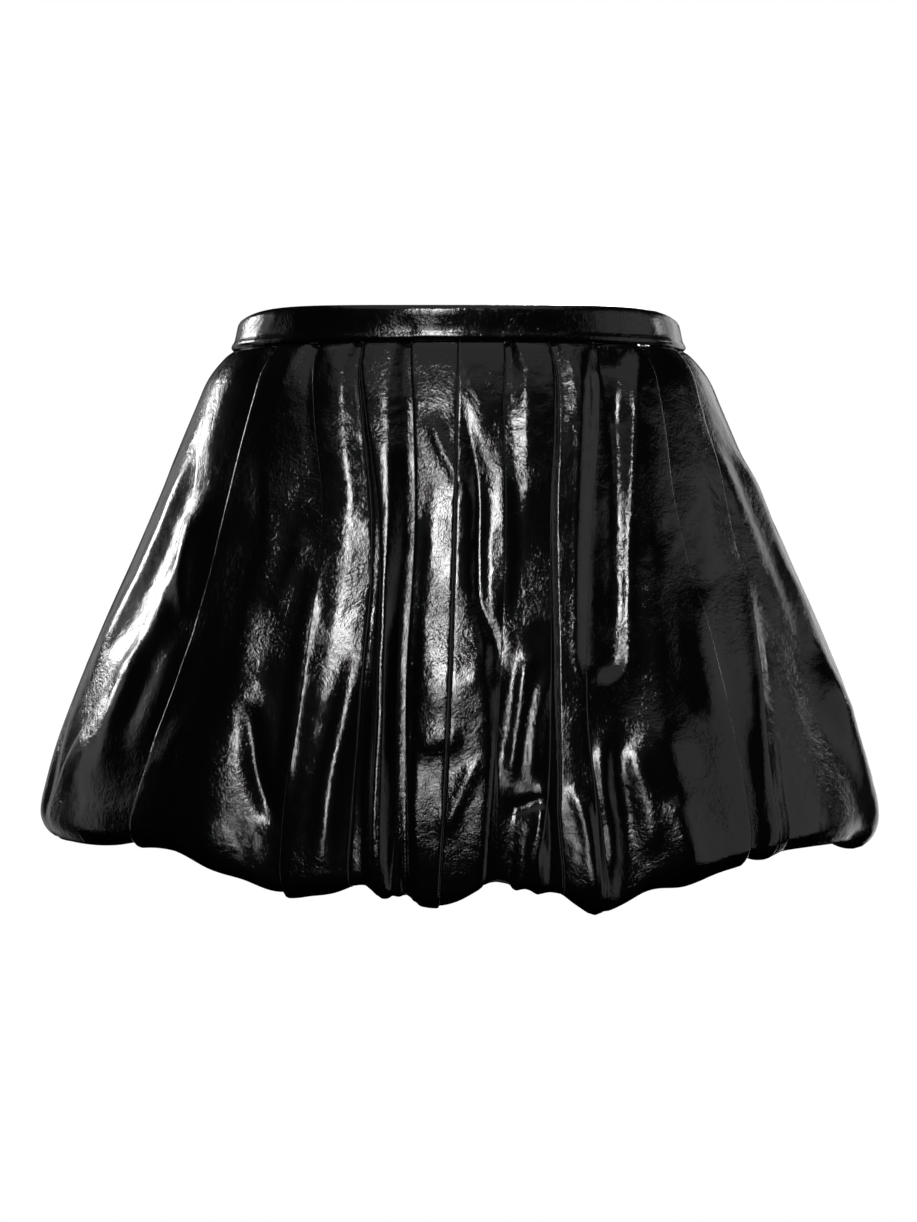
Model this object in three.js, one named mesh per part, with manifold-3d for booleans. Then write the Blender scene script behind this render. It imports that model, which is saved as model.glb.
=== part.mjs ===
// A pleated balloon-hem mini skirt in patent leather, filled out as it hangs from a waist.
// Millimetres, +Z up. The wearer faces -Y and their left side is +X. The origin is the centre
// of the waist, halfway up the waistband.
import * as THREE from 'three';
import { mergeVertices } from 'three/addons/utils/BufferGeometryUtils.js';
import Module from 'manifold-3d';

// Driving sizes
const leather = 1.0; // thickness of the skirt's wall
const seamGap = 0.3; // between neighbouring pieces at a seam
const bandHeight = 21;
const bandWall = 2.6; // leather folded over an interlining
const bandBottom = { halfWidth: 136, halfDepth: 100.2 };
const bandTop = { halfWidth: 130.5, halfDepth: 94.7 };
const bandSideDip = 7; // the band's top edge dips at the sides of the waist
const bandShoulderRise = 3; // and rises a little before it does
const waistSquareness = 0.03; // how far the ring stands out between its front and its sides
const hemFrontPower = 4; // how soon the hem rises from the front towards the sides
const zipOpening = 0.6; // between the two back edges where the zip closes them
const zipEnd = 0.42; // share of the skirt's length that the zip opens

// The skirt's form at rest, from the waist seam down to the hem and round under it.
// share: of the length down the side. halfWidth, front and back: of the ring there.
// sideZ and frontZ: its height at the side, and at the front and back.
const formSections = [
  { share: 0.0, halfWidth: 133.0, front: 97.0, back: 97.0, sideZ: -10.8, frontZ: -10.8 },
  { share: 0.02, halfWidth: 139.5, front: 100.5, back: 100.5, sideZ: -15.4, frontZ: -15.4 },
  { share: 0.05, halfWidth: 149.0, front: 107.0, back: 107.0, sideZ: -27.2, frontZ: -28.2 },
  { share: 0.1, halfWidth: 156.0, front: 114.0, back: 114.5, sideZ: -42.9, frontZ: -44.8 },
  { share: 0.2, halfWidth: 168.0, front: 126.0, back: 128.0, sideZ: -73.3, frontZ: -79.2 },
  { share: 0.3, halfWidth: 178.5, front: 136.0, back: 139.0, sideZ: -101.7, frontZ: -111.6 },
  { share: 0.42, halfWidth: 192.5, front: 148.0, back: 152.0, sideZ: -137.1, frontZ: -151.8 },
  { share: 0.55, halfWidth: 208.5, front: 161.0, back: 166.0, sideZ: -173.4, frontZ: -193 },
  { share: 0.68, halfWidth: 223.5, front: 173.0, back: 179.0, sideZ: -209.7, frontZ: -234.2 },
  { share: 0.8, halfWidth: 236.0, front: 183.0, back: 190.0, sideZ: -243, frontZ: -271.5 },
  { share: 0.9, halfWidth: 243.5, front: 190.5, back: 198.5, sideZ: -269.5, frontZ: -299.9 },
  { share: 0.955, halfWidth: 246.5, front: 194.0, back: 202.0, sideZ: -285.2, frontZ: -315.6 },
  { share: 0.985, halfWidth: 244.0, front: 194.5, back: 202.5, sideZ: -293.5, frontZ: -324.5 },
  { share: 1.0, halfWidth: 238.5, front: 191.0, back: 199.0, sideZ: -298, frontZ: -328.6 },
  { share: 1.03, halfWidth: 228.5, front: 181.5, back: 189.5, sideZ: -296, frontZ: -326.6 },
  { share: 1.14, halfWidth: 203.0, front: 152.0, back: 160.0, sideZ: -276, frontZ: -307 },
];

// Rows of points down the wall
const rowShares = [
  0, 0.03, 0.08, 0.15, 0.24, 0.34, 0.45, 0.56, 0.67, 0.78, 0.88, 0.95, 0.985, 1.0, 1.035, 1.14,
];
const lengthDown = 330; // from the waist seam to the hem

// Where along the length each pleat's figures below are given
const pleatStations = [0, 0.1, 0.3, 0.6, 0.85, 1.0];

// The pleats of one quarter, from the centre seam out to the side seam. All turn outwards.
// angle: of the folded edge round the ring, in degrees from the centre.
// overlap: how far the edge lies over the leather behind it, in mm, or how far it stands short.
// lift: of the edge above the ring, and of the leather behind it below the ring.
const usualOverlap = [15, 13, 10, 7, 5, 3];
const closingOverlap = [15, 12, 7, 2, -3, -5];
const usualLift = [2.1, 2.4, 3.2, 4.6, 4.8, 3.2];
const strongLift = [2.1, 2.7, 4.0, 6.2, 6.4, 3.6];
const gentleLift = [2.1, 2.3, 2.8, 3.8, 4.0, 2.8];
const fadingLift = [2.1, 2.2, 2.0, 1.8, 1.6, 1.4];
const closingLift = [2.1, 2.4, 3.2, 3.4, 2.4, 1.4];
const openLift = [2.1, 2.4, 3.2, 4.6, 5.0, 4.6];
const pleats = {
  frontLeft: [
    { angle: [11.3, 9.6, 8.6, 6.2, 4.4, 3.6], overlap: [15, 12, 8, 4, -4, -6], lift: closingLift },
    { angle: [22.2, 20.6, 16.9, 13.9, 11.6, 8.6], overlap: [15, 13, 10, 7, -1, -15], lift: openLift },
    { angle: [33.8, 31.3, 25.2, 19.4, 18.6, 18.4], overlap: closingOverlap, lift: strongLift },
    { angle: [48.8, 46.5, 42.6, 41.6, 40.8, 40.2], overlap: [15, 14, 13, 15, 18, 20], lift: strongLift },
    { angle: [66.5, 62.0, 58.0, 51.0, 46.5, 46.0], overlap: [15, 11, 2, -6, -8, -8], lift: fadingLift },
  ],
  frontRight: [
    { angle: [11.5, 9.6, 7.9, 7.8, 6.6, 6.0], overlap: [15, 12, 7, 4, -1, -4], lift: usualLift },
    { angle: [23.5, 20.0, 14.6, 12.0, 11.2, 11.0], overlap: [15, 11, 3, -3, -5, -6], lift: gentleLift },
    { angle: [35.0, 31.5, 25.2, 23.6, 23.7, 23.2], overlap: [15, 13, 11, 8, 5, 3], lift: usualLift },
    { angle: [48.3, 47.5, 46.5, 44.5, 45.8, 47.5], overlap: [15, 14, 12, 12, 14, 14], lift: strongLift },
    { angle: [65.5, 67.5, 58.0, 59.5, 70.0, 75.0], overlap: [15, 13, 10, 5, -2, -4], lift: usualLift },
  ],
  backLeft: [
    { angle: [11.3, 10.6, 9.6, 9.0, 8.7, 8.6], overlap: usualOverlap, lift: usualLift },
    { angle: [23.0, 22.0, 20.4, 18.6, 17.9, 17.6], overlap: closingOverlap, lift: usualLift },
    { angle: [35.0, 33.6, 31.0, 29.6, 30.2, 31.0], overlap: [15, 13, 12, 10, 8, 7], lift: strongLift },
    { angle: [49.0, 47.6, 45.6, 45.0, 46.2, 47.0], overlap: closingOverlap, lift: usualLift },
    { angle: [66.5, 64.5, 61.5, 61.0, 63.8, 66.0], overlap: [15, 14, 12, 9, 8, 7], lift: strongLift },
  ],
  backRight: [
    { angle: [11.3, 10.8, 10.2, 9.8, 9.5, 9.4], overlap: closingOverlap, lift: usualLift },
    { angle: [23.0, 21.6, 20.0, 19.4, 19.6, 19.8], overlap: usualOverlap, lift: usualLift },
    { angle: [35.0, 33.8, 32.4, 31.0, 30.0, 29.4], overlap: closingOverlap, lift: strongLift },
    { angle: [49.0, 48.0, 47.2, 46.0, 44.8, 44.0], overlap: [15, 14, 13, 12, 12, 12], lift: strongLift },
    { angle: [66.5, 65.5, 63.5, 65.0, 67.4, 69.0], overlap: closingOverlap, lift: usualLift },
  ],
};

// Where the centre seams run, in degrees from the middle, +X being positive
const centreSeams = {
  front: [0, -0.2, -0.6, -1.3, -2.1, -2.7],
  back: [0, 0, 0, 0, 0, 0],
};

// The hem's waves: each drops it by so many mm, most at its turn. Turns are in degrees from the
// middle of the front or back, +X being positive.
const hemWaves = [
  { face: 'front', turn: -42, width: 8, drop: -9 },
  { face: 'front', turn: -25, width: 4, drop: 6 },
  { face: 'front', turn: -12.5, width: 3.5, drop: -5 },
  { face: 'front', turn: -3.5, width: 4.5, drop: 4 },
  { face: 'front', turn: 4, width: 3, drop: -6 },
  { face: 'front', turn: 9, width: 3, drop: -3 },
  { face: 'front', turn: 20.5, width: 4.5, drop: 13 },
  { face: 'back', turn: -35, width: 7, drop: 5 },
  { face: 'back', turn: -14, width: 6, drop: -5 },
  { face: 'back', turn: 6, width: 5, drop: 5 },
  { face: 'back', turn: 26, width: 7, drop: -4 },
  { face: 'back', turn: 48, width: 8, drop: 6 },
];

// The largest drapes between the pleats, as a soft ridge or trough along a line down the wall.
// from and to: [turn in degrees, share of the length]. width and height in mm.
const drapes = [
  { face: 'front', from: [75, 0.28], to: [68, 0.72], width: 15, height: 5 },
  { face: 'front', from: [68, 0.72], to: [77, 1.05], width: 15, height: 5 },
  { face: 'front', from: [34, 0.14], to: [27, 0.62], width: 13, height: -7 },
  { face: 'front', from: [29, 0.76], to: [31, 1.02], width: 16, height: 4 },
  { face: 'front', from: [-36, 0.3], to: [-34, 0.95], width: 15, height: 5 },
  { face: 'front', from: [-53, 0.35], to: [-56, 0.8], width: 12, height: 4 },
  { face: 'back', from: [40, 0.25], to: [38, 0.7], width: 14, height: -6 },
  { face: 'back', from: [75, 0.3], to: [73, 1.0], width: 15, height: 5 },
  { face: 'back', from: [-27, 0.2], to: [-25, 0.65], width: 13, height: -5 },
  { face: 'back', from: [-56, 0.35], to: [-57, 1.0], width: 15, height: 5 },
  { face: 'back', from: [-78, 0.3], to: [-77, 0.9], width: 13, height: 4 },
];

const radians = THREE.MathUtils.degToRad;
const { lerp, smoothstep, clamp } = THREE.MathUtils;

// A smooth curve through values given at stations, read at one place
function readAlong(stations, values, at) {
  const last = stations.length - 1;
  const place = clamp(at, stations[0], stations[last]);
  let i = 0;
  while (i < last - 1 && place > stations[i + 1]) i += 1;
  const span = stations[i + 1] - stations[i];
  const slopeAt = (k) => {
    const before = Math.max(k - 1, 0);
    const after = Math.min(k + 1, last);
    return (values[after] - values[before]) / (stations[after] - stations[before]);
  };
  const t = (place - stations[i]) / span;
  const squared = t * t;
  const cubed = squared * t;
  return (
    (2 * cubed - 3 * squared + 1) * values[i] +
    (cubed - 2 * squared + t) * span * slopeAt(i) +
    (3 * squared - 2 * cubed) * values[i + 1] +
    (cubed - squared) * span * slopeAt(i + 1)
  );
}

const sectionShares = formSections.map((row) => row.share);
const sectionColumn = (name) => formSections.map((row) => row[name]);
const columns = {
  halfWidth: sectionColumn('halfWidth'),
  front: sectionColumn('front'),
  back: sectionColumn('back'),
  sideZ: sectionColumn('sideZ'),
  frontZ: sectionColumn('frontZ'),
};
const readForm = (name, share) => readAlong(sectionShares, columns[name], share);

// A point of the smooth ring, before any pleat. turn: radians from the front or back centre.
function formPoint(share, turn, isFront) {
  const squared = 1 + waistSquareness * Math.sin(2 * turn) ** 2;
  const depth = readForm(isFront ? 'front' : 'back', share);
  const side = readForm('sideZ', share);
  const rise = (readForm('frontZ', share) - side) * Math.cos(turn) ** hemFrontPower;
  return new THREE.Vector3(
    readForm('halfWidth', share) * Math.sin(turn) * squared,
    (isFront ? -1 : 1) * depth * Math.cos(turn) * squared,
    side + rise,
  );
}

// The ring's own directions at a point: along the ring, and straight out of the cloth
function formFrame(share, turn, isFront) {
  const step = 0.002;
  const before = formPoint(share, turn - step, isFront);
  const above = formPoint(Math.max(share - step, 0), turn, isFront);
  const along = formPoint(share, turn + step, isFront).sub(before);
  const down = formPoint(share + step, turn, isFront).sub(above);
  const out = new THREE.Vector3().crossVectors(down, along);
  if (!isFront) out.negate();
  out.z *= smoothstep(share, 0, 0.05); // the top edge lies level under the band
  const mmPerRadian = along.length() / (2 * step);
  return { along: along.normalize(), out: out.normalize(), mmPerRadian };
}

const faceOf = (quarter) => (quarter.startsWith('front') ? 'front' : 'back');
const signedTurn = (quarter, turn) => (quarter.endsWith('Left') ? turn : -turn);

// How far the drapes push a point in or out
function drapeHeight(quarter, turn, share, mmPerRadian) {
  let height = 0;
  for (const drape of drapes) {
    if (drape.face !== faceOf(quarter)) continue;
    const reach = drape.to[1] - drape.from[1];
    const t = (share - drape.from[1]) / reach;
    const nearest = clamp(t, 0, 1);
    const middle = radians(lerp(drape.from[0], drape.to[0], nearest));
    const across = (signedTurn(quarter, turn) - middle) * mmPerRadian;
    const beyond = (t - nearest) * reach * lengthDown;
    const farness = (across / drape.width) ** 2 + (beyond / (1.6 * drape.width)) ** 2;
    height += drape.height * Math.exp(-farness);
  }
  return height;
}

// How far the waves drop the hem at a turn from the centre
function waveDrop(quarter, turn) {
  let drop = 0;
  for (const wave of hemWaves) {
    if (wave.face !== faceOf(quarter)) continue;
    const farness = (signedTurn(quarter, turn) - radians(wave.turn)) / radians(wave.width);
    drop += wave.drop * Math.exp(-(farness ** 2));
  }
  return drop;
}

// One pleat's figures at one height
function pleatAt(pleat, share) {
  const read = (name) => readAlong(pleatStations, pleat[name], share);
  return { edge: radians(read('angle')), overlap: read('overlap'), lift: read('lift') };
}

// How many points of the section cross the panel before a pleat: more where it is wide
function panelPoints(quarter, index) {
  const [low, high] = [index - 1, index].map((i) => pleatAt(pleats[quarter][i], 0.6).edge);
  return clamp(Math.round((high - low) / radians(5.5)), 2, 5);
}
const sidePoints = 5; // across the panel at the side seam

// The cross-section of one quarter at one height, as points from the centre seam to the side
// seam, each with its turn round the ring and its height off the ring
function quarterSection(quarter, share) {
  const isFront = quarter.startsWith('front');
  const seam = radians(readAlong(pleatStations, centreSeams[faceOf(quarter)], share));
  const centre = signedTurn(quarter, seam);
  const found = pleats[quarter].map((pleat) => pleatAt(pleat, share));
  const turnOf = (mm, at) => mm / formFrame(share, at, isFront).mmPerRadian;
  // A panel is up at its full lift just before the overlap, the leather behind it is down just past
  // the edge, and each panel swells a little between its folds
  const clear = 3;
  const lead = 3 + 5 * clamp(share, 0, 1);
  const puff = 3 * smoothstep(share, 0.05, 0.5);
  const raisedTurn = (now) => now.edge - turnOf(Math.max(now.overlap, 0) + clear, now.edge);
  const points = [];
  const put = (turn, height, name) => points.push({ turn, height, name });

  put(centre, found[0].lift + puff * 0.6, 'centre');
  put(lerp(centre, raisedTurn(found[0]), 0.55), found[0].lift + puff, 'panel');
  put(raisedTurn(found[0]), found[0].lift + puff * 0.5, 'panel');
  found.forEach((now, index) => {
    if (index) {
      const before = found[index - 1];
      const leaves = before.edge + turnOf(lead, before.edge);
      const raised = Math.max(raisedTurn(now), leaves + 0.01);
      const steps = panelPoints(quarter, index);
      for (let i = 1; i <= steps; i += 1) {
        const t = i / steps;
        const climb = lerp(-before.lift, now.lift, smoothstep(t, -0.1, 0.8));
        put(lerp(leaves, raised, t), climb + puff * Math.sin(Math.PI * Math.min(t, 0.85)), 'panel');
      }
    }
    put(now.edge, now.lift, 'edge');
    if (now.overlap > 0) {
      const inner = now.edge - turnOf(now.overlap, now.edge);
      put(now.edge, 0, 'turnedBack');
      put(inner, 0, 'turnedOut');
      put(inner, -now.lift, 'behind');
    } else {
      const short = turnOf(-now.overlap, now.edge);
      put(now.edge + short * 0.3, now.lift * 0.4, 'slope');
      put(now.edge + short * 0.7, -now.lift * 0.4, 'slope');
      put(now.edge + short, -now.lift * 0.8, 'slope');
    }
    // The side-front and side-back seams run just behind the second pleat's edge
    const name = index === 1 ? 'pieced' : 'leaves';
    put(now.edge + turnOf(lead + Math.max(-now.overlap, 0), now.edge), -now.lift, name);
  });
  const lastLift = found[found.length - 1].lift;
  const leaves = points[points.length - 1].turn;
  for (let i = 1; i <= sidePoints; i += 1) {
    const t = i / sidePoints;
    const climb = lerp(-lastLift, 0, smoothstep(t, -0.2, 0.8));
    const height = climb + puff * Math.sin(Math.PI * t * 0.7);
    put(lerp(leaves, Math.PI / 2, t), height, i === sidePoints ? 'side' : 'panel');
  }
  return points;
}

// Turns a flat path of turns and heights into wall points: the middle of the leather, and the
// mitred step from it to the grain side
function wallRow(quarter, share, section) {
  const isFront = quarter.startsWith('front');
  const mirror = quarter.endsWith('Left') ? 1 : -1;
  const hang = smoothstep(share, 0.45, 0.95);
  const flat = section.map((p) => {
    const { mmPerRadian } = formFrame(share, p.turn, isFront);
    const drape = drapeHeight(quarter, p.turn, share, mmPerRadian);
    return { along: p.turn * mmPerRadian, out: p.height + drape, point: p };
  });
  return flat.map((here, i) => {
    const before = flat[Math.max(i - 1, 0)];
    const after = flat[Math.min(i + 1, flat.length - 1)];
    const normalOf = (a, b) => new THREE.Vector2(a.out - b.out, b.along - a.along).normalize();
    const incoming = i ? normalOf(before, here) : normalOf(here, after);
    const outgoing = i < flat.length - 1 ? normalOf(here, after) : incoming;
    const mitre = incoming.clone().add(outgoing).normalize();
    const stretch = Math.min(1 / Math.max(mitre.dot(incoming), 0.1), 1.5);
    const frame = formFrame(share, here.point.turn, isFront);
    const middle = formPoint(share, here.point.turn, isFront).addScaledVector(frame.out, here.out);
    middle.z -= waveDrop(quarter, here.point.turn) * hang;
    const step = frame.along.clone().multiplyScalar(mitre.x).addScaledVector(frame.out, mitre.y);
    step.multiplyScalar(stretch);
    middle.x *= mirror;
    step.x *= mirror;
    return { middle, step, along: frame.along.clone().setX(frame.along.x * mirror) };
  });
}

// A closed wall between an outer and an inner grid of points
function wallGeometry(outer, inner) {
  const rows = outer.length;
  const across = outer[0].length;
  const positions = [];
  for (const p of [outer, inner].flat(2)) positions.push(p.x, p.y, p.z);
  const at = (side, r, c) => side * rows * across + r * across + c;
  const index = [];
  const quad = (a, b, c, d) => index.push(a, b, c, a, c, d);
  for (let r = 0; r < rows - 1; r += 1) {
    for (let c = 0; c < across - 1; c += 1) {
      quad(at(0, r, c), at(0, r + 1, c), at(0, r + 1, c + 1), at(0, r, c + 1));
      quad(at(1, r, c), at(1, r, c + 1), at(1, r + 1, c + 1), at(1, r + 1, c));
    }
    quad(at(0, r, 0), at(1, r, 0), at(1, r + 1, 0), at(0, r + 1, 0));
    const end = across - 1;
    quad(at(0, r, end), at(0, r + 1, end), at(1, r + 1, end), at(1, r, end));
  }
  for (let c = 0; c < across - 1; c += 1) {
    quad(at(0, 0, c), at(0, 0, c + 1), at(1, 0, c + 1), at(1, 0, c));
    const foot = rows - 1;
    quad(at(0, foot, c), at(1, foot, c), at(1, foot, c + 1), at(0, foot, c + 1));
  }
  const geometry = new THREE.BufferGeometry();
  geometry.setAttribute('position', new THREE.Float32BufferAttribute(positions, 3));
  geometry.setIndex(index);
  return facingOut(geometry);
}

// The signed volume of a closed mesh, which is negative when its faces point in
function signedVolume(geometry) {
  const position = geometry.getAttribute('position');
  const index = geometry.getIndex();
  const corner = (i) => new THREE.Vector3().fromBufferAttribute(position, index.getX(i));
  let sum = 0;
  for (let i = 0; i < index.count; i += 3) {
    sum += corner(i).dot(corner(i + 1).cross(corner(i + 2))) / 6;
  }
  return sum;
}

function facingOut(geometry) {
  if (signedVolume(geometry) < 0) {
    const index = geometry.getIndex();
    for (let i = 0; i < index.count; i += 3) {
      const second = index.getX(i + 1);
      index.setX(i + 1, index.getX(i + 2));
      index.setX(i + 2, second);
    }
  }
  geometry.computeVertexNormals();
  return geometry;
}

// One panel of the skirt: part of a quarter's section, all the way down
function panelGeometry(quarter, fromName, toName) {
  const isBackCentre = quarter.startsWith('back') && fromName === 'centre';
  const outer = [];
  const inner = [];
  for (const share of rowShares) {
    const section = quarterSection(quarter, share);
    const row = wallRow(quarter, share, section);
    const first = section.findIndex((p) => p.name === fromName);
    const last = section.findIndex((p) => p.name === toName);
    const picked = row.slice(first, last + 1);
    const startGap = isBackCentre && share < zipEnd ? zipOpening / 2 : seamGap / 2;
    const shiftOf = (i) => {
      if (i === 0) return startGap;
      return i === picked.length - 1 ? -seamGap / 2 : 0;
    };
    const place = (side) =>
      picked.map((p, i) => {
        const spot = p.middle.clone().addScaledVector(p.step, (side * leather) / 2);
        return spot.addScaledVector(p.along, shiftOf(i));
      });
    outer.push(place(1));
    inner.push(place(-1));
  }
  return wallGeometry(outer, inner);
}

// The waistband's own ring, at a height above its middle
function bandPoint(turn, height, inward) {
  const t = height / bandHeight + 0.5;
  const squared = 1 + waistSquareness * Math.sin(2 * turn) ** 2;
  const halfWidth = lerp(bandBottom.halfWidth, bandTop.halfWidth, t) - inward;
  const halfDepth = lerp(bandBottom.halfDepth, bandTop.halfDepth, t) - inward;
  const dip = t * (bandSideDip * Math.sin(turn) ** 8 - bandShoulderRise * Math.sin(turn) ** 2);
  return new THREE.Vector3(
    halfWidth * Math.sin(turn) * squared,
    -halfDepth * Math.cos(turn) * squared,
    height - dip,
  );
}

// One length of waistband between two turns, with a softly rounded top and foot
function bandGeometry(fromTurn, toTurn, steps) {
  const half = bandHeight / 2;
  const profile = [
    { height: -half, inward: bandWall * 0.5 },
    { height: -half + 0.7, inward: 0.2 },
    { height: -half * 0.3, inward: -0.5 },
    { height: half * 0.5, inward: -0.3 },
    { height: half - 0.8, inward: 0.1 },
    { height: half, inward: bandWall * 0.5 },
    { height: half - 0.8, inward: bandWall * 0.95 },
    { height: -half + 0.5, inward: bandWall },
  ];
  const positions = [];
  for (let s = 0; s <= steps; s += 1) {
    const turn = lerp(fromTurn, toTurn, s / steps);
    for (const { height, inward } of profile) {
      positions.push(...bandPoint(turn, height, inward).toArray());
    }
  }
  const around = profile.length;
  const index = [];
  for (let s = 0; s < steps; s += 1) {
    for (let k = 0; k < around; k += 1) {
      const next = (k + 1) % around;
      const a = s * around + k;
      const b = s * around + next;
      index.push(a, b, b + around, a, b + around, a + around);
    }
  }
  for (let k = 1; k < around - 1; k += 1) {
    const end = steps * around;
    index.push(0, k + 1, k, end, end + k, end + k + 1);
  }
  const geometry = new THREE.BufferGeometry();
  geometry.setAttribute('position', new THREE.Float32BufferAttribute(positions, 3));
  geometry.setIndex(index);
  return facingOut(geometry);
}

// The closed zip behind the back opening: a flat strip that follows the inside of the wall
const zip = {
  width: 16, // of both tapes
  thickness: 1.2,
  slider: { width: 6, height: 8, depth: 1.8, topZ: 8.5 },
  ear: { thickness: 1.1, radius: 1.5, spread: 4.4 },
  pinRadius: 0.6,
  pinDrop: 3.2, // of the pin below the slider's top
  pinStandOff: 2.0, // of the pin from the slider's face
  pull: { length: 13, width: 5, thickness: 1.0, eyeRadius: 1.35, play: 0.3 },
};

function zipChainGeometry() {
  const below = 0.5; // clear of the leather in front of it
  const outer = [];
  const inner = [];
  const put = (point, out) => {
    const across = new THREE.Vector3(zip.width / 2, 0, 0);
    const back = out.clone().multiplyScalar(-zip.thickness);
    outer.push([point.clone().sub(across), point.clone().add(across)]);
    inner.push([point.clone().sub(across).add(back), point.clone().add(across).add(back)]);
  };
  const bandOut = new THREE.Vector3(0, 1, 0);
  for (const height of [bandHeight / 2 - 1, 0, -bandHeight / 2]) {
    put(bandPoint(Math.PI, height, bandWall + below), bandOut);
  }
  for (const share of rowShares.filter((s) => s > 0 && s < zipEnd)) {
    const section = quarterSection('backLeft', share);
    const { middle, step } = wallRow('backLeft', share, section)[0];
    const face = middle.clone().setX(0).addScaledVector(step, -leather / 2 - below);
    put(face, step.clone().setX(0).normalize());
  }
  return wallGeometry(outer, inner);
}

const wasm = await Module();
wasm.setup();

function solidOf(geometry) {
  const bare = geometry.index ? geometry.toNonIndexed() : geometry.clone();
  bare.deleteAttribute('normal');
  bare.deleteAttribute('uv');
  const merged = mergeVertices(bare, 1e-4);
  return new wasm.Manifold(
    new wasm.Mesh({
      numProp: 3,
      vertProperties: new Float32Array(merged.getAttribute('position').array),
      triVerts: new Uint32Array(merged.getIndex().array),
    }),
  );
}

function geometryOf(solid) {
  const mesh = solid.getMesh();
  const geometry = new THREE.BufferGeometry();
  const corners = new Float32Array(mesh.vertProperties);
  geometry.setAttribute('position', new THREE.BufferAttribute(corners, 3));
  geometry.setIndex(new THREE.BufferAttribute(new Uint32Array(mesh.triVerts), 1));
  geometry.computeVertexNormals();
  return geometry;
}

const roundSides = 16;
const flatSides = { bevelEnabled: false, curveSegments: 8 };
function barAlongX(radius, length, y, z) {
  const bar = new THREE.CylinderGeometry(radius, radius, length, roundSides);
  return bar.rotateZ(Math.PI / 2).translate(0, y, z);
}

// Slider and pull are modelled upright, then leaned to the waistband's slope
const bandLean = Math.atan2(bandBottom.halfDepth - bandTop.halfDepth, bandHeight);
const pinY = zip.slider.depth + zip.pinStandOff;
const pinZ = -zip.pinDrop;

function zipSliderGeometry() {
  const { width, height, depth } = zip.slider;
  const outline = new THREE.Shape();
  outline.moveTo(-width / 2, -1);
  outline.absarc(0, -width / 2, width / 2, Math.PI, 0, true);
  outline.lineTo(width * 0.36, -height);
  outline.lineTo(-width * 0.36, -height);
  outline.closePath();
  const plate = new THREE.ExtrudeGeometry(outline, { depth, ...flatSides });
  plate.rotateX(Math.PI / 2).translate(0, depth, 0);
  let solid = solidOf(plate);
  for (const side of [-1, 1]) {
    const x = (side * (zip.ear.spread + zip.ear.thickness)) / 2;
    const foot = new THREE.BoxGeometry(zip.ear.thickness, pinY - depth / 2, 2 * zip.ear.radius);
    foot.translate(x, (pinY + depth / 2) / 2, pinZ);
    const knuckle = barAlongX(zip.ear.radius, zip.ear.thickness, pinY, pinZ).translate(x, 0, 0);
    solid = solid.add(solidOf(foot)).add(solidOf(knuckle));
  }
  const pin = barAlongX(zip.pinRadius, zip.ear.spread + zip.ear.thickness, pinY, pinZ);
  return geometryOf(solid.add(solidOf(pin)));
}

function zipPullGeometry() {
  const { length, width, thickness, eyeRadius, play } = zip.pull;
  const eyeWidth = zip.ear.spread - 2 * play;
  const neck = eyeWidth / 2;
  const side = width / 2;
  const shoulderY = -eyeRadius - 1;
  const middleY = -length / 2;
  const roundY = -length + side;
  const outline = new THREE.Shape();
  outline.moveTo(-neck, 0);
  outline.lineTo(-neck, shoulderY);
  outline.bezierCurveTo(-neck, middleY, -side, middleY, -side, roundY);
  outline.absarc(0, roundY, side, Math.PI, 0, false);
  outline.bezierCurveTo(side, middleY, neck, middleY, neck, shoulderY);
  outline.lineTo(neck, 0);
  outline.closePath();
  const plate = new THREE.ExtrudeGeometry(outline, { depth: thickness, ...flatSides });
  plate.rotateX(Math.PI / 2).translate(0, thickness / 2 + pinY, pinZ);
  const eye = barAlongX(eyeRadius, eyeWidth, pinY, pinZ);
  const bore = barAlongX(zip.pinRadius + play, eyeWidth * 2, pinY, pinZ);
  return geometryOf(solidOf(plate).add(solidOf(eye)).subtract(solidOf(bore)));
}

// Where the upright zip fittings go: on the back of the band, leaned to its slope
function onBand(mesh) {
  const standOff = 0.85; // off the band's ring, to clear its swell
  const top = bandPoint(Math.PI, zip.slider.topZ, -standOff);
  mesh.rotation.x = bandLean;
  mesh.position.copy(top);
  return mesh;
}

// Finishes
const patent = { color: 0x0b0b0d, roughness: 0.16, metalness: 0 };
const metal = { color: 0x17171a, roughness: 0.3, metalness: 0.9 };
const coil = { color: 0x0c0c0e, roughness: 0.6, metalness: 0 };

function named(name, geometry, finish) {
  const mesh = new THREE.Mesh(geometry, new THREE.MeshStandardMaterial(finish));
  mesh.name = name;
  return mesh;
}

const skirt = new THREE.Group();
const bandSteps = 20; // along a quarter of the waistband
const quarterNames = {
  frontLeft: ['front_centre_left', 'front_side_left'],
  frontRight: ['front_centre_right', 'front_side_right'],
  backLeft: ['back_centre_left', 'back_side_left'],
  backRight: ['back_centre_right', 'back_side_right'],
};
for (const [quarter, [centreName, sideName]] of Object.entries(quarterNames)) {
  skirt.add(named(centreName, panelGeometry(quarter, 'centre', 'pieced'), patent));
  skirt.add(named(sideName, panelGeometry(quarter, 'pieced', 'side'), patent));
}
const sideGapTurn = seamGap / 2 / bandBottom.halfDepth;
const zipGapTurn = zipOpening / 2 / bandBottom.halfWidth;
const quarterTurn = Math.PI / 2;
const bandBackStart = quarterTurn + sideGapTurn;
const bandBackEnd = Math.PI - zipGapTurn;
const bandFrontEnd = quarterTurn - sideGapTurn;
const bandFront = bandGeometry(-bandFrontEnd, bandFrontEnd, 2 * bandSteps);
const bandBackLeft = bandGeometry(bandBackStart, bandBackEnd, bandSteps);
const bandBackRight = bandGeometry(-bandBackEnd, -bandBackStart, bandSteps);
skirt.add(named('waistband_front', bandFront, patent));
skirt.add(named('waistband_back_left', bandBackLeft, patent));
skirt.add(named('waistband_back_right', bandBackRight, patent));
skirt.add(named('zip_chain', zipChainGeometry(), coil));
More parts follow.
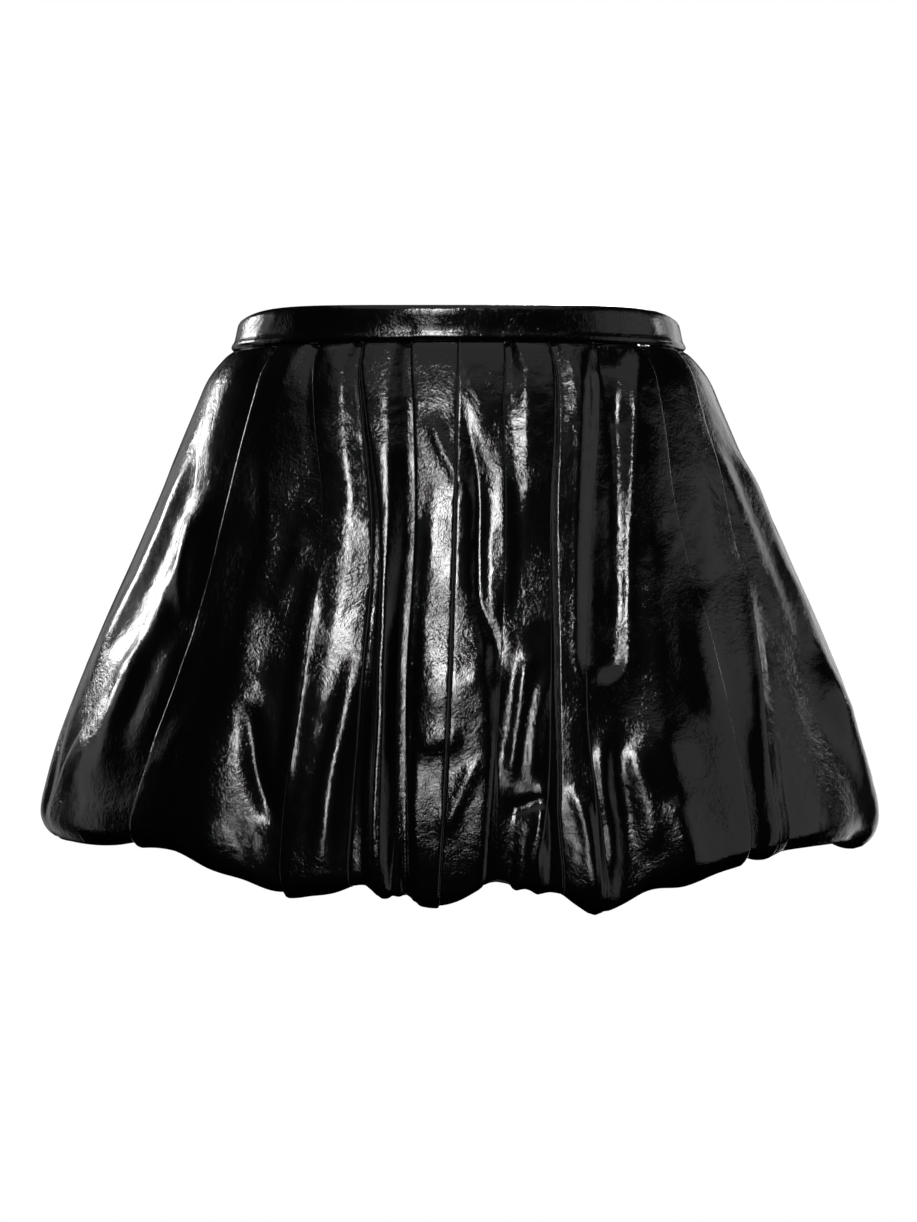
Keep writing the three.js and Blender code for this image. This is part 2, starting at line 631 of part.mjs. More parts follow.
skirt.add(onBand(named('zip_slider', zipSliderGeometry(), metal)));
skirt.add(onBand(named('zip_pull', zipPullGeometry(), metal)));

export default skirt;
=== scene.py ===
import math
import bmesh
import bpy
import numpy as np
from mathutils import Matrix, Vector


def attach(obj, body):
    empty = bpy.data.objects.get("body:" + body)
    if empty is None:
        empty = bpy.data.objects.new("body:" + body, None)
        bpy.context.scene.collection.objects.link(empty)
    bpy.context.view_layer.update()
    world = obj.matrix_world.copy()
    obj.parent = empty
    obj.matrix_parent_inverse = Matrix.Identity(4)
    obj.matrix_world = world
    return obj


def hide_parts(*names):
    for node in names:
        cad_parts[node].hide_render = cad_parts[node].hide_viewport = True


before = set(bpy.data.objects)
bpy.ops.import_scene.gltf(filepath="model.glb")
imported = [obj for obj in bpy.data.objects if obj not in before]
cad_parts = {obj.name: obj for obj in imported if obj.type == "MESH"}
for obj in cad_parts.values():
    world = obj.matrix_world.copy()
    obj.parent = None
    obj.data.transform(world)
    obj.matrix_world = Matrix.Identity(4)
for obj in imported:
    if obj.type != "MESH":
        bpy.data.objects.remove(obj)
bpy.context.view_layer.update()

mm = 0.001
print("frame loaded:", len(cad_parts), "nodes")

# The skirt's form at rest in mm: -Y is the wearer's front, +X their left
form = {
    "leather": 1.0,          # thickness of the wall
    "seamGap": 0.04,         # between neighbouring panels
    "squareness": 0.03,      # how far a ring stands out between its front and its sides
    "hemFrontPower": 4,      # how soon the hem rises towards the sides
    "lengthDown": 330.0,     # from the waist seam to the hem
    "sections": [            # share of the length down, half width, depths, heights of side and front
        (0.0, 133.0, 97.0, 97.0, -10.8, -10.8),
        (0.02, 139.5, 100.5, 100.5, -15.4, -15.4),
        (0.05, 149.0, 107.0, 107.0, -27.2, -28.2),
        (0.1, 156.0, 114.0, 114.5, -42.9, -44.8),
        (0.2, 168.0, 126.0, 128.0, -73.3, -79.2),
        (0.3, 178.5, 136.0, 139.0, -101.7, -111.6),
        (0.42, 192.5, 148.0, 152.0, -137.1, -151.8),
        (0.55, 208.5, 161.0, 166.0, -173.4, -193.0),
        (0.68, 223.5, 173.0, 179.0, -209.7, -234.2),
        (0.8, 236.0, 183.0, 190.0, -243.0, -271.5),
        (0.9, 243.5, 190.5, 198.5, -269.5, -299.9),
        (0.955, 246.5, 194.0, 202.0, -285.2, -315.6),
        (0.985, 244.0, 194.5, 202.5, -293.5, -324.5),
        (1.0, 238.5, 191.0, 199.0, -298.0, -328.6),
        (1.03, 228.5, 181.5, 189.5, -296.0, -326.6),
        (1.14, 203.0, 152.0, 160.0, -276.0, -307.0),
    ],
}

# The knife pleats, from the centre seam out: where each folded edge runs in degrees round the
# ring, how far it lies over the leather behind, and how far edge and leather are lifted apart
usualOverlap = [15, 13, 10, 7, 5, 3]
closingOverlap = [15, 12, 7, 2, -3, -5]
usualLift = [2.1, 2.4, 3.2, 4.6, 4.8, 3.2]
strongLift = [2.1, 2.7, 4.0, 6.2, 6.4, 3.6]
closingLift = [2.1, 2.4, 3.2, 3.4, 2.4, 1.4]
openLift = [2.1, 2.4, 3.2, 4.6, 5.0, 4.6]
pleatStations = [0, 0.1, 0.3, 0.6, 0.85, 1.0]

# How a pleat is pressed: the share of its lift that it keeps at each station
sharpPleat = [1, 1, 1, 0.95, 0.8, 0.7]
flatPleat = [1, 0.6, 0.1, 0.08, 0.35, 0.6]
softPleat = [1, 0.85, 0.6, 0.6, 0.65, 0.75]
pressed = {"frontLeft": [flatPleat] * 5, "frontRight": [sharpPleat] * 2 + [flatPleat] * 3,
           "backLeft": [softPleat] * 5, "backRight": [softPleat] * 5}
panelSwell = {"front": [0, 0, 0, 0.1, 1.0, 1.6], "back": [0, 0.2, 1.6, 3, 3, 3]}  # mm between two pleats
pleats = {  # rows of angle, overlap and lift at the stations
    "frontLeft": [
        ([11.3, 9.6, 8.6, 6.2, 4.4, 3.6], [15, 12, 8, 4, -4, -6], closingLift),
        ([22.2, 20.6, 16.9, 13.9, 11.6, 8.6], [15, 13, 10, 7, -1, -15], openLift),
        ([33.8, 31.3, 25.2, 19.4, 18.6, 18.4], closingOverlap, strongLift),
        ([48.8, 46.5, 42.6, 41.6, 40.8, 40.2], [15, 14, 13, 15, 18, 20], strongLift),
        ([66.5, 62.0, 58.0, 51.0, 46.5, 46.0], [15, 11, 2, -6, -8, -8], [2.1, 2.2, 2.0, 1.8, 1.6, 1.4]),
    ],
    "frontRight": [
        ([11.5, 9.6, 7.9, 7.8, 6.6, 6.0], [15, 12, 7, 4, -1, -4], usualLift),
        ([23.5, 20.0, 14.6, 12.0, 11.2, 11.0], [15, 11, 3, -3, -5, -6], [2.1, 2.3, 2.8, 3.8, 4.0, 2.8]),
        ([35.0, 31.5, 25.2, 23.6, 23.7, 23.2], [15, 13, 11, 8, 5, 3], usualLift),
        ([48.3, 47.5, 46.5, 44.5, 45.8, 47.5], [15, 14, 12, 12, 14, 14], strongLift),
        ([65.5, 67.5, 58.0, 59.5, 70.0, 75.0], [15, 13, 10, 5, -2, -4], usualLift),
    ],
    "backLeft": [
        ([11.3, 10.6, 9.6, 9.0, 8.7, 8.6], usualOverlap, usualLift),
        ([23.0, 22.0, 20.4, 18.6, 17.9, 17.6], closingOverlap, usualLift),
        ([35.0, 33.6, 31.0, 29.6, 30.2, 31.0], [15, 13, 12, 10, 8, 7], strongLift),
        ([49.0, 47.6, 45.6, 45.0, 46.2, 47.0], closingOverlap, usualLift),
        ([66.5, 64.5, 61.5, 61.0, 63.8, 66.0], [15, 14, 12, 9, 8, 7], strongLift),
    ],
    "backRight": [
        ([11.3, 10.8, 10.2, 9.8, 9.5, 9.4], closingOverlap, usualLift),
        ([23.0, 21.6, 20.0, 19.4, 19.6, 19.8], usualOverlap, usualLift),
        ([35.0, 33.8, 32.4, 31.0, 30.0, 29.4], closingOverlap, strongLift),
        ([49.0, 48.0, 47.2, 46.0, 44.8, 44.0], [15, 14, 13, 12, 12, 12], strongLift),
        ([66.5, 65.5, 63.5, 65.0, 67.4, 69.0], closingOverlap, usualLift),
    ],
}
centreSeams = {"front": [0, -0.2, -0.6, -1.3, -2.1, -2.7], "back": [0, 0, 0, 0, 0, 0]}  # degrees

# The hem's waves: where in degrees round the ring, how wide, how many mm lower
hemWaves = {
    "front": [
        (-42, 8, -9),
        (-25, 4, 6),
        (-12.5, 3.5, -5),
        (-3.5, 4.5, 4),
        (4, 3, -6),
        (9, 3, -3),
        (20.5, 4.5, 13),
    ],
    "back": [
        (-35, 7, 5),
        (-14, 6, -5),
        (6, 5, 5),
        (26, 7, -4),
        (48, 8, 6),
    ],
}

# The largest drapes: from and to [degrees round the ring, share of the length], width, height in mm
drapes = {
    "front": [
        ([75, 0.28], [68, 0.72], 15, 5),
        ([68, 0.72], [77, 1.05], 15, 5),
        ([34, 0.14], [27, 0.62], 13, -2.5),
        ([29, 0.76], [31, 1.02], 16, 4),
        ([-36, 0.3], [-34, 0.95], 15, 2.5),
        ([-53, 0.35], [-56, 0.8], 12, 3),
    ],
    "back": [
        ([40, 0.25], [38, 0.7], 14, -6),
        ([75, 0.3], [73, 1.0], 15, 5),
        ([-27, 0.2], [-25, 0.65], 13, -5),
        ([-56, 0.35], [-57, 1.0], 15, 5),
        ([-78, 0.3], [-77, 0.9], 13, 4),
    ],
}

# The creases of the leather, given as they are seen square on: across is mm towards the
# wearer's left, down is mm below the waist's middle. After the path come the width and the height,
# below zero where it dips. Then taper is the share that fades at each end, power squares its top
# and lip is a raised rim.
creases = {
    "front": [  # centre-front panels
        ([(-30, -214), (30, -210)], 24, 3, {"taper": 0.3}),
        ([(-34, -338), (44, -338)], 40, -6, {"taper": 0.1}),
        ([(1, -45), (11, -91), (12, -160), (20, -188), (15, -211), (2, -215)], 4.5, -2.4),
        ([(-17, -55), (-8, -78), (7, -103)], 3.5, 1.5),
        ([(24, -70), (27, -120), (26, -172)], 5, 1.4),
        ([(-24, -241), (-10, -238), (3, -240)], 6, 1.6),
        ([(11, -252), (2, -268), (-9, -290)], 5, 1.5),
        # wearer's left, from the centre out
        ([(40, -185), (32, -239), (27, -272)], 4.5, 2.0),
        ([(51, -196), (43, -233), (40, -267)], 4.5, 1.6),
        ([(48, -258), (46, -306)], 4, 1.3),
        ([(25, -280), (38, -278), (52, -271)], 4, -1.8),
        ([(88, -20), (85, -90), (83, -138), (82, -190)], 12, -4.5, {"power": 4, "taper": 0, "lip": 0.5}),
        ([(84, -222), (81, -250), (86, -289), (79, -330)], 6, 3.6),
        ([(66, -259), (73, -289), (75, -325)], 5, 1.8),
        ([(94, -236), (104, -267), (110, -302)], 7, 2.4),
        ([(118, -270), (131, -313)], 7, 2.0),
        ([(107, -130), (114, -170), (118, -208)], 9, 0.9),
        ([(134, -150), (139, -190), (146, -232)], 9, 2.4),
        ([(166, -140), (172, -205), (174, -278)], 4, 1.6),
        ([(187, -130), (215, -205), (240, -285)], 7, 2.4),
        # wearer's right, from the centre out
        ([(-47, -175), (-50, -250), (-47, -322)], 4, 1.8),
        ([(-54, -180), (-64, -227), (-72, -267), (-76, -320)], 7, 2.6),
        ([(-79, -138), (-89, -194), (-99, -280)], 4, 1.3),
        ([(-119, -215), (-112, -262), (-100, -281)], 6, -3.0),
        ([(-142, -150), (-146, -200), (-145, -262)], 8, 0.8),
        ([(-118, -150), (-121, -210), (-111, -258)], 8, 0.8),
        ([(-113, -70), (-109, -120), (-104, -152)], 6, 0.7),
        ([(-86, -118), (-97, -150), (-106, -172)], 5, 0.7),
        ([(-153, -108), (-157, -140), (-158, -175)], 5, 2.2),
        ([(-158, -178), (-170, -214), (-187, -258)], 9, 3.0),
        ([(-152, -230), (-168, -268)], 6, 1.8),
        ([(-178, -180), (-206, -233), (-230, -276)], 9, 3.2),
    ],
    "left": [  # sides: across is mm towards the front
        ([(60, -60), (66, -120), (80, -190)], 9, 2.2),
        ([(20, -90), (10, -170), (24, -250)], 11, 3.0),
        ([(-30, -70), (-34, -150)], 8, -2.0),
        ([(-62, -150), (-70, -210), (-66, -285)], 10, 2.6),
        ([(52, -220), (40, -262), (46, -300)], 8, -2.2),
    ],
    "right": [
        ([(48, -70), (58, -140), (50, -210)], 10, 2.6),
        ([(6, -80), (-4, -150)], 8, -2.2),
        ([(-18, -170), (-30, -240), (-22, -300)], 11, 3.0),
        ([(-64, -60), (-72, -140), (-84, -215)], 9, 2.2),
        ([(24, -215), (34, -262), (28, -296)], 7, -2.0),
    ],
    "back": [  # back: across is mm towards the wearer's left
        ([(14, -150), (18, -205), (11, -252)], 7, 1.8),
        ([(-16, -170), (-12, -230), (-20, -290)], 8, 2.0),
        ([(44, -90), (52, -160), (47, -214)], 6, -2.0),
        ([(62, -200), (70, -262), (64, -318)], 7, 2.4),
        ([(96, -70), (108, -150), (106, -226)], 10, 2.6),
        ([(124, -210), (136, -262), (150, -302)], 8, 2.4),
        ([(150, -96), (168, -170)], 8, -2.2),
        ([(-48, -60), (-54, -130), (-62, -188)], 6, 1.8),
        ([(-76, -160), (-72, -226), (-84, -300)], 8, 2.6),
        ([(-104, -84), (-112, -150), (-108, -206)], 11, -3.0, {"power": 4}),
        ([(-118, -222), (-126, -270), (-120, -316)], 7, 2.4),
        ([(-150, -100), (-162, -180), (-180, -262)], 9, 2.8),
    ],
}


def readAlong(stations, values, at):
    # a smooth curve through values given at stations
    x, y = np.asarray(stations, float), np.asarray(values, float)
    last = len(x) - 1
    before, after = np.maximum(np.arange(last + 1) - 1, 0), np.minimum(np.arange(last + 1) + 1, last)
    slope = (y[after] - y[before]) / (x[after] - x[before])
    place = np.clip(at, x[0], x[-1])
    i = np.clip(np.searchsorted(x, place, side="left") - 1, 0, last - 1)
    span = x[i + 1] - x[i]
    t = (place - x[i]) / span
    return ((2 * t**3 - 3 * t**2 + 1) * y[i] + (t**3 - 2 * t**2 + t) * span * slope[i]
            + (3 * t**2 - 2 * t**3) * y[i + 1] + (t**3 - t**2) * span * slope[i + 1])


def smooth(x, low, high):
    t = np.clip((x - low) / (high - low), 0, 1)
    return t * t * (3 - 2 * t)


sections = dict(zip(("share", "halfWidth", "front", "back", "sideZ", "frontZ"), zip(*form["sections"])))
readForm = lambda name, share: readAlong(sections["share"], sections[name], share)


def formPoint(share, turn, isFront):
    # the smooth ring before any pleat, turn in radians from the front or back centre
    squared = 1 + form["squareness"] * np.sin(2 * turn) ** 2
    depth = readForm("front" if isFront else "back", share)
    side = readForm("sideZ", share)
    rise = (readForm("frontZ", share) - side) * np.cos(turn) ** form["hemFrontPower"]
    return np.stack([readForm("halfWidth", share) * np.sin(turn) * squared,
                     (-1 if isFront else 1) * depth * np.cos(turn) * squared, side + rise], -1)


def formFrame(share, turn, isFront):
    # directions along the ring and out of the cloth, and mm for each radian
    step = 0.002
    along = formPoint(share, turn + step, isFront) - formPoint(share, turn - step, isFront)
    down = formPoint(share + step, turn, isFront) - formPoint(np.maximum(share - step, 0), turn, isFront)
    out = np.cross(down, along) * (1 if isFront else -1)
    out[..., 2] *= smooth(share, 0, 0.05)
    length = np.linalg.norm(along, axis=-1)
    return along / length[..., None], out / np.linalg.norm(out, axis=-1)[..., None], length / (2 * step)


def sectionControls(quarter, share):
    # control points of a quarter's cross-section for every share, from centre seam to side seam
    isFront = quarter.startswith("front")
    seam = np.radians(readAlong(pleatStations, centreSeams["front" if isFront else "back"], share))
    centre = seam if quarter.endswith("Left") else -seam
    found = []
    for row, kept in zip(pleats[quarter], pressed[quarter]):
        angle, overlap, lift, kept = (readAlong(pleatStations, values, share) for values in (*row, kept))
        found.append({"angle": angle, "overlap": overlap, "lift": lift * kept})
    turnOf = lambda size, at: size / formFrame(share, at, isFront)[2]
    clear, lead = 3.0, 3 + 5 * np.clip(share, 0, 1)
    puff = 3 * smooth(share, 0.05, 0.5)
    between = readAlong(pleatStations, panelSwell["front" if isFront else "back"], share)
    turns, heights, names = [], [], []

    def put(turn, height, name):
        turns.append(turn + 0 * share)
        heights.append(height + 0 * share)
        names.append(name)

    for now in found:
        now["edge"] = np.radians(now["angle"])
        now["raised"] = now["edge"] - turnOf(np.maximum(now["overlap"], 0) + clear, now["edge"])
    first = found[0]
    for t in (0, 0.25, 0.5, 0.75, 1):
        swell = puff * (0.8 - 0.15 * t if isFront else 0.6 + 0.3 * math.sin(math.pi * min(t, 0.8)))
        put(centre + (first["raised"] - centre) * t, first["lift"] + swell, "centre" if t == 0 else "panel")
    for index, now in enumerate(found):
        edge, lift, overlap = now["edge"], now["lift"], now["overlap"]
        if index:
            before = found[index - 1]
            leaves = before["leaves"]
            raised = np.maximum(now["raised"], leaves + 0.01)
            gap = float(np.degrees(np.interp(0.6, share, raised - leaves)))
            steps = int(np.clip(round(gap / 1.6), 4, 10))
            for i in range(1, steps + 1):
                t = i / steps
                climb = -before["lift"] + (before["lift"] + lift) * (t if isFront else smooth(t, -0.1, 0.8))
                swell = between * math.sin(math.pi * min(t, 0.85))
                put(leaves + (raised - leaves) * t, climb + swell, "panel")
        folded, short = smooth(overlap, -4, 4), np.maximum(-overlap, 0)
        inner = edge - turnOf(overlap, edge)
        curl = turnOf(0.9 * lift + 0.6, edge)  # how much of the layers the fold's round edge takes
        under = np.maximum(0.75 * lift - 1.5, 0) * folded  # the turned-back layer lies close below
        put(np.maximum(edge - curl, now["raised"] + turnOf(1.0, edge)), lift, "panel")
        put(edge, lift, "edge")
        put(edge + turnOf(0.3 * short, edge), under + 0.3 * lift * (1 - folded), "edge")
        put(np.maximum(edge - curl, (edge + inner) / 2), under, "inside")
        nearFold = np.where(overlap > 0, inner, edge + turnOf(0.7 * short, edge))
        put(nearFold, -0.3 * lift * (1 - folded), "inside")
        put(inner, -lift, "inside")
        now["leaves"] = edge + turnOf(lead + short, edge)
        put(np.minimum(inner + curl, now["leaves"]), -lift, "inside")
        put(now["leaves"], -lift, "leaves")
    last, steps = found[-1], 12
    for i in range(1, steps + 1):
        t = i / steps
        height = -last["lift"] * (1 - smooth(t, -0.2, 0.8)) + puff * math.sin(math.pi * t * 0.7)
        put(last["leaves"] + (math.pi / 2 - last["leaves"]) * t, height, "side" if i == steps else "panel")
    return np.stack(turns, -1), np.stack(heights, -1), names


def splineWeights(count, perSpan):
    # a cubic B-spline that starts and ends on its end points, as a matrix on the control points
    places = np.linspace(0, count - 1, (count - 1) * perSpan + 1)
    weights = np.zeros((len(places), count + 2))
    for row, place in enumerate(places):
        i = min(int(place), count - 2)
        t = place - i
        basis = [(1 - t) ** 3, 3 * t**3 - 6 * t**2 + 4, -3 * t**3 + 3 * t**2 + 3 * t + 1, t**3]
        for k in range(4):
            weights[row, i + k] += basis[k] / 6
    inner = weights[:, 1:-1].copy()
    inner[:, 0] += 2 * weights[:, 0]
    inner[:, 1] -= weights[:, 0]
    inner[:, -1] += 2 * weights[:, -1]
    inner[:, -2] -= weights[:, -1]
    return inner


def curveThrough(points, samples=24):
    # a smooth path through a few given points
    points = np.asarray(points, float)
    gaps = np.linalg.norm(np.diff(points, axis=0), axis=1)
    marks = np.concatenate([[0], np.cumsum(gaps)])
    at = np.linspace(0, marks[-1], samples)
    return np.stack([readAlong(marks, points[:, k], at) for k in range(2)], -1)


def creaseHeight(face, across, down):
    total = np.zeros_like(across)
    for path, width, height, *more in creases[face]:
        shape = {"taper": 0.25, "power": 2, "lip": 0, **(more[0] if more else {})}
        path = curveThrough(path)
        reach = 3.2 * width
        low, high = path.min(0) - reach, path.max(0) + reach
        near = (across > low[0]) & (across < high[0]) & (down > low[1]) & (down < high[1])
        if not near.any():
            continue
        x, z = across[near], down[near]
        best, place = np.full(x.shape, 1e9), np.zeros(x.shape)
        for i in range(len(path) - 1):
            a, d = path[i], path[i + 1] - path[i]
            t = np.clip(((x - a[0]) * d[0] + (z - a[1]) * d[1]) / (d @ d), 0, 1)
            gap = np.hypot(x - a[0] - t * d[0], z - a[1] - t * d[1])
            closer = gap < best
            best = np.where(closer, gap, best)
            place = np.where(closer, (i + t) / (len(path) - 1), place)
        ends = smooth(np.minimum(place, 1 - place), -0.02, shape["taper"]) if shape["taper"] else 1
        far = best / width
        total[near] += height * ends * np.exp(-far ** shape["power"])
        if shape["lip"]:
            total[near] += shape["lip"] * np.exp(-((far - 1.3) / 0.2) ** 2)
    return total


def drapeHeight(face, signed, share, mmPerRadian):
    total = np.zeros_like(signed)
    for (turn0, share0), (turn1, share1), width, height in drapes[face]:
        t = (share - share0) / (share1 - share0)
        near = np.clip(t, 0, 1)
        across = (signed - np.radians(turn0 + (turn1 - turn0) * near)) * mmPerRadian
        beyond = (t - near) * (share1 - share0) * form["lengthDown"]
        total += height * np.exp(-((across / width) ** 2) - (beyond / (1.6 * width)) ** 2)
    return total


def waveDrop(face, signed):
    return sum(drop * np.exp(-(((signed - math.radians(turn)) / math.radians(width)) ** 2))
               for turn, width, drop in hemWaves[face])


fineShares = np.concatenate([np.linspace(0, 0.1, 17)[:-1], np.linspace(0.1, 0.9, 86)[:-1],
                             np.linspace(0.9, 1.04, 27)[:-1], np.linspace(1.04, 1.14, 8)])


def quarterSurface(quarter):
    # the middle of the leather over a whole quarter, with where its panels meet
    isFront, mirror = quarter.startswith("front"), 1 if quarter.endswith("Left") else -1
    face = "front" if isFront else "back"
    turns, heights, names = sectionControls(quarter, fineShares)
    perSpan = 3
    weights = splineWeights(len(names), perSpan)
    turn, height = turns @ weights.T, heights @ weights.T
    share = np.repeat(fineShares[:, None], turn.shape[1], 1)
    base = formPoint(share, turn, isFront)
    along, out, mmPerRadian = formFrame(share, turn, isFront)
    signed = turn * mirror
    push = height + drapeHeight(face, signed, share, mmPerRadian)
    side = "left" if mirror == 1 else "right"
    folds = creaseHeight(face, base[..., 0] * mirror, base[..., 2]) * smooth(np.cos(turn), 0.12, 0.4)
    folds += creaseHeight(side, -base[..., 1], base[..., 2]) * smooth(np.sin(turn), 0.6, 0.8)
    push = push + folds * smooth(share, 0.0, 0.04)
    middle = base + out * push[..., None]
    middle[..., 2] -= waveDrop(face, signed) * smooth(share, 0.45, 0.95)
    middle[..., 0] *= mirror
    pieced = [i for i, name in enumerate(names) if name == "leaves"][1] * perSpan
    return {"middle": middle, "pieced": pieced, "mirror": mirror, "isFront": isFront}


def gridNormals(points):
    along, down = np.gradient(points, axis=1), np.gradient(points, axis=0)
    normal = np.cross(down, along)
    return normal / np.maximum(np.linalg.norm(normal, axis=-1), 1e-9)[..., None]


print("form functions ready,", len(fineShares), "rows")


def makeMaterial(name):
    material = bpy.data.materials.new(name)
    material.use_nodes = True
    tree = material.node_tree
    shader = tree.nodes["Principled BSDF"]
    return material, tree, shader


def addNode(tree, kind, **values):
    node = tree.nodes.new(kind)
    for key, value in values.items():
        if hasattr(node, key) and key not in node.inputs:
            setattr(node, key, value)
        else:
            node.inputs[key].default_value = value
    return node


def addTexture(tree, kind, **values):
    # a texture laid in the object's own coordinates
    place = tree.nodes.get("Texture Coordinate") or addNode(tree, "ShaderNodeTexCoord")
    texture = addNode(tree, kind, **values)
    tree.links.new(place.outputs["Object"], texture.inputs["Vector"])
    return texture


def addColours(tree, shader, source, dark, light):
    tone = addNode(tree, "ShaderNodeValToRGB")
    tone.color_ramp.elements[0].color = dark
    tone.color_ramp.elements[1].color = light
    tree.links.new(source, tone.inputs["Fac"])
    tree.links.new(tone.outputs["Color"], shader.inputs["Base Color"])
    return tone


def addRelief(tree, shader, source, depth):
    bump = addNode(tree, "ShaderNodeBump", Distance=depth)
    tree.links.new(source, bump.inputs["Height"])
    tree.links.new(bump.outputs["Normal"], shader.inputs["Normal"])


# Black patent leather: a film of lacquer over dyed leather, with a crinkle where it has bent
patent = {
    "colour": (0.0022, 0.0022, 0.0026, 1), "roughness": 0.35, "lacquerRoughness": 0.03, "lacquerIor": 1.5,
    "dentScale": 45.0, "dentDepth": 0.001, "wrinkleScale": 190.0, "wrinkleDepth": 0.00032,
    "crinkleScale": 760.0, "crinkleDepth": 0.00014, "grainScale": 1300.0, "grainDepth": 0.00003,
    "wornScale": 26.0, "worn": {"From Min": 0.42, "From Max": 0.62, "To Min": 0.3},  # more wrinkled in places
}


def patentLeather(name, settings):
    material, tree, shader = makeMaterial(name)
    link = tree.links.new
    shader.inputs["Base Color"].default_value = settings["colour"]
    shader.inputs["Roughness"].default_value = settings["roughness"]
    shader.inputs["Specular IOR Level"].default_value = 0.04
    shader.inputs["Coat Weight"].default_value = 1.0
    shader.inputs["Coat Roughness"].default_value = settings["lacquerRoughness"]
    shader.inputs["Coat IOR"].default_value = settings["lacquerIor"]
    dents = addTexture(tree, "ShaderNodeTexNoise", Scale=settings["dentScale"], Detail=2.0, Roughness=0.5)
    wrinkles = addTexture(tree, "ShaderNodeTexNoise", Scale=settings["wrinkleScale"], Detail=2.0, Roughness=0.6,
                          Distortion=1.4)
    crinkle = addTexture(tree, "ShaderNodeTexNoise", Scale=settings["crinkleScale"], Detail=3.0, Roughness=0.6,
                         Distortion=0.8)
    where = addTexture(tree, "ShaderNodeTexNoise", Scale=settings["wornScale"], Detail=1.0)
    grain = addTexture(tree, "ShaderNodeTexVoronoi", Scale=settings["grainScale"])
    mask = addNode(tree, "ShaderNodeMapRange", **settings["worn"])
    link(where.outputs["Fac"], mask.inputs["Value"])
    worn = []
    for texture in (wrinkles, crinkle):
        scaled = addNode(tree, "ShaderNodeMath", operation="MULTIPLY")
        link(texture.outputs["Fac"], scaled.inputs[0])
        link(mask.outputs["Result"], scaled.inputs[1])
        worn.append(scaled)
    bumps = []
    for source, depth in ((dents.outputs["Fac"], settings["dentDepth"]),
                          (worn[0].outputs["Value"], settings["wrinkleDepth"]),
                          (worn[1].outputs["Value"], settings["crinkleDepth"]),
                          (grain.outputs["Distance"], settings["grainDepth"])):
        bump = addNode(tree, "ShaderNodeBump", Strength=1.0, Distance=depth)
        link(source, bump.inputs["Height"])
        if bumps:
            link(bumps[-1].outputs["Normal"], bump.inputs["Normal"])
        bumps.append(bump)
    link(bumps[-1].outputs["Normal"], shader.inputs["Normal"])
    link(bumps[-1].outputs["Normal"], shader.inputs["Coat Normal"])
    return material


patentMaterial = patentLeather("patent_leather_black", patent)


# The leather's back: dyed suede, seen inside the skirt
def suedeBack():
    material, tree, shader = makeMaterial("leather_back")
    shader.inputs["Roughness"].default_value = 0.85
    fibre = addTexture(tree, "ShaderNodeTexNoise", Scale=420.0, Detail=4.0).outputs["Fac"]
    addColours(tree, shader, fibre, (0.012, 0.012, 0.013, 1), (0.03, 0.03, 0.031, 1))
    addRelief(tree, shader, fibre, 0.0002)
    return material


backMaterial = suedeBack()
print("leather materials ready")


def addObject(name, data):
    added = bpy.data.objects.new(name, data)
    bpy.context.collection.objects.link(added)
    return added


def makeMesh(name, points, faces, materials, slots, uv=None):
    mesh = bpy.data.meshes.new(name)
    mesh.from_pydata((points * mm).tolist(), [], faces.tolist())
    mesh.update()
    for material in materials:
        mesh.materials.append(material)
    mesh.polygons.foreach_set("material_index", slots.astype(np.int32))
    if uv is not None:
        layer = mesh.uv_layers.new(name="cloth")
        index = np.zeros(len(mesh.loops), np.int32)
        mesh.loops.foreach_get("vertex_index", index)
        layer.data.foreach_set("uv", uv[index].astype(np.float32).ravel())
    mesh.polygons.foreach_set("use_smooth", np.ones(len(mesh.polygons), bool))
    return addObject(name, mesh)


def signedVolume(points, faces):
    a, b, c, d = (points[faces[:, k]] for k in range(4))
    return float((a * np.cross(b, c)).sum() + (a * np.cross(c, d)).sum()) / 6


def runningLength(points, axis):
    # the distance along a grid's rows or columns from its first point
    steps = np.linalg.norm(np.diff(points, axis=axis), axis=-1)
    return np.concatenate([np.zeros_like(np.take(steps, [0], axis)), np.cumsum(steps, axis)], axis)


def makeWall(name, outer, inner, materials):
    # a closed wall between an outer and an inner grid
    rows, cols = outer.shape[:2]
    at = lambda side, r, c: side * rows * cols + r * cols + c
    r, c = [m.ravel() for m in np.meshgrid(np.arange(rows - 1), np.arange(cols - 1), indexing="ij")]
    outside = np.stack([at(0, r, c), at(0, r + 1, c), at(0, r + 1, c + 1), at(0, r, c + 1)], -1)
    inside = np.stack([at(1, r, c), at(1, r, c + 1), at(1, r + 1, c + 1), at(1, r + 1, c)], -1)
    r, c, end, foot = np.arange(rows - 1), np.arange(cols - 1), cols - 1, rows - 1
    rim = np.concatenate([
        np.stack([at(0, r, 0), at(1, r, 0), at(1, r + 1, 0), at(0, r + 1, 0)], -1),
        np.stack([at(0, r, end), at(0, r + 1, end), at(1, r + 1, end), at(1, r, end)], -1),
        np.stack([at(0, 0, c), at(0, 0, c + 1), at(1, 0, c + 1), at(1, 0, c)], -1),
        np.stack([at(0, foot, c), at(1, foot, c), at(1, foot, c + 1), at(0, foot, c + 1)], -1)])
    faces = np.concatenate([outside, rim, inside])
    points = np.concatenate([outer.reshape(-1, 3), inner.reshape(-1, 3)])
    if signedVolume(points, faces) < 0:
        faces = faces[:, ::-1]
    slots = np.zeros(len(faces))
    slots[len(outside) + len(rim):] = len(materials) - 1
    across, lengths = runningLength(outer, 1), runningLength(outer, 0)
    uv = np.tile(np.stack([across, -lengths], -1).reshape(-1, 2) * 0.01, (2, 1))
    return makeMesh(name, points, faces, materials, slots, uv)


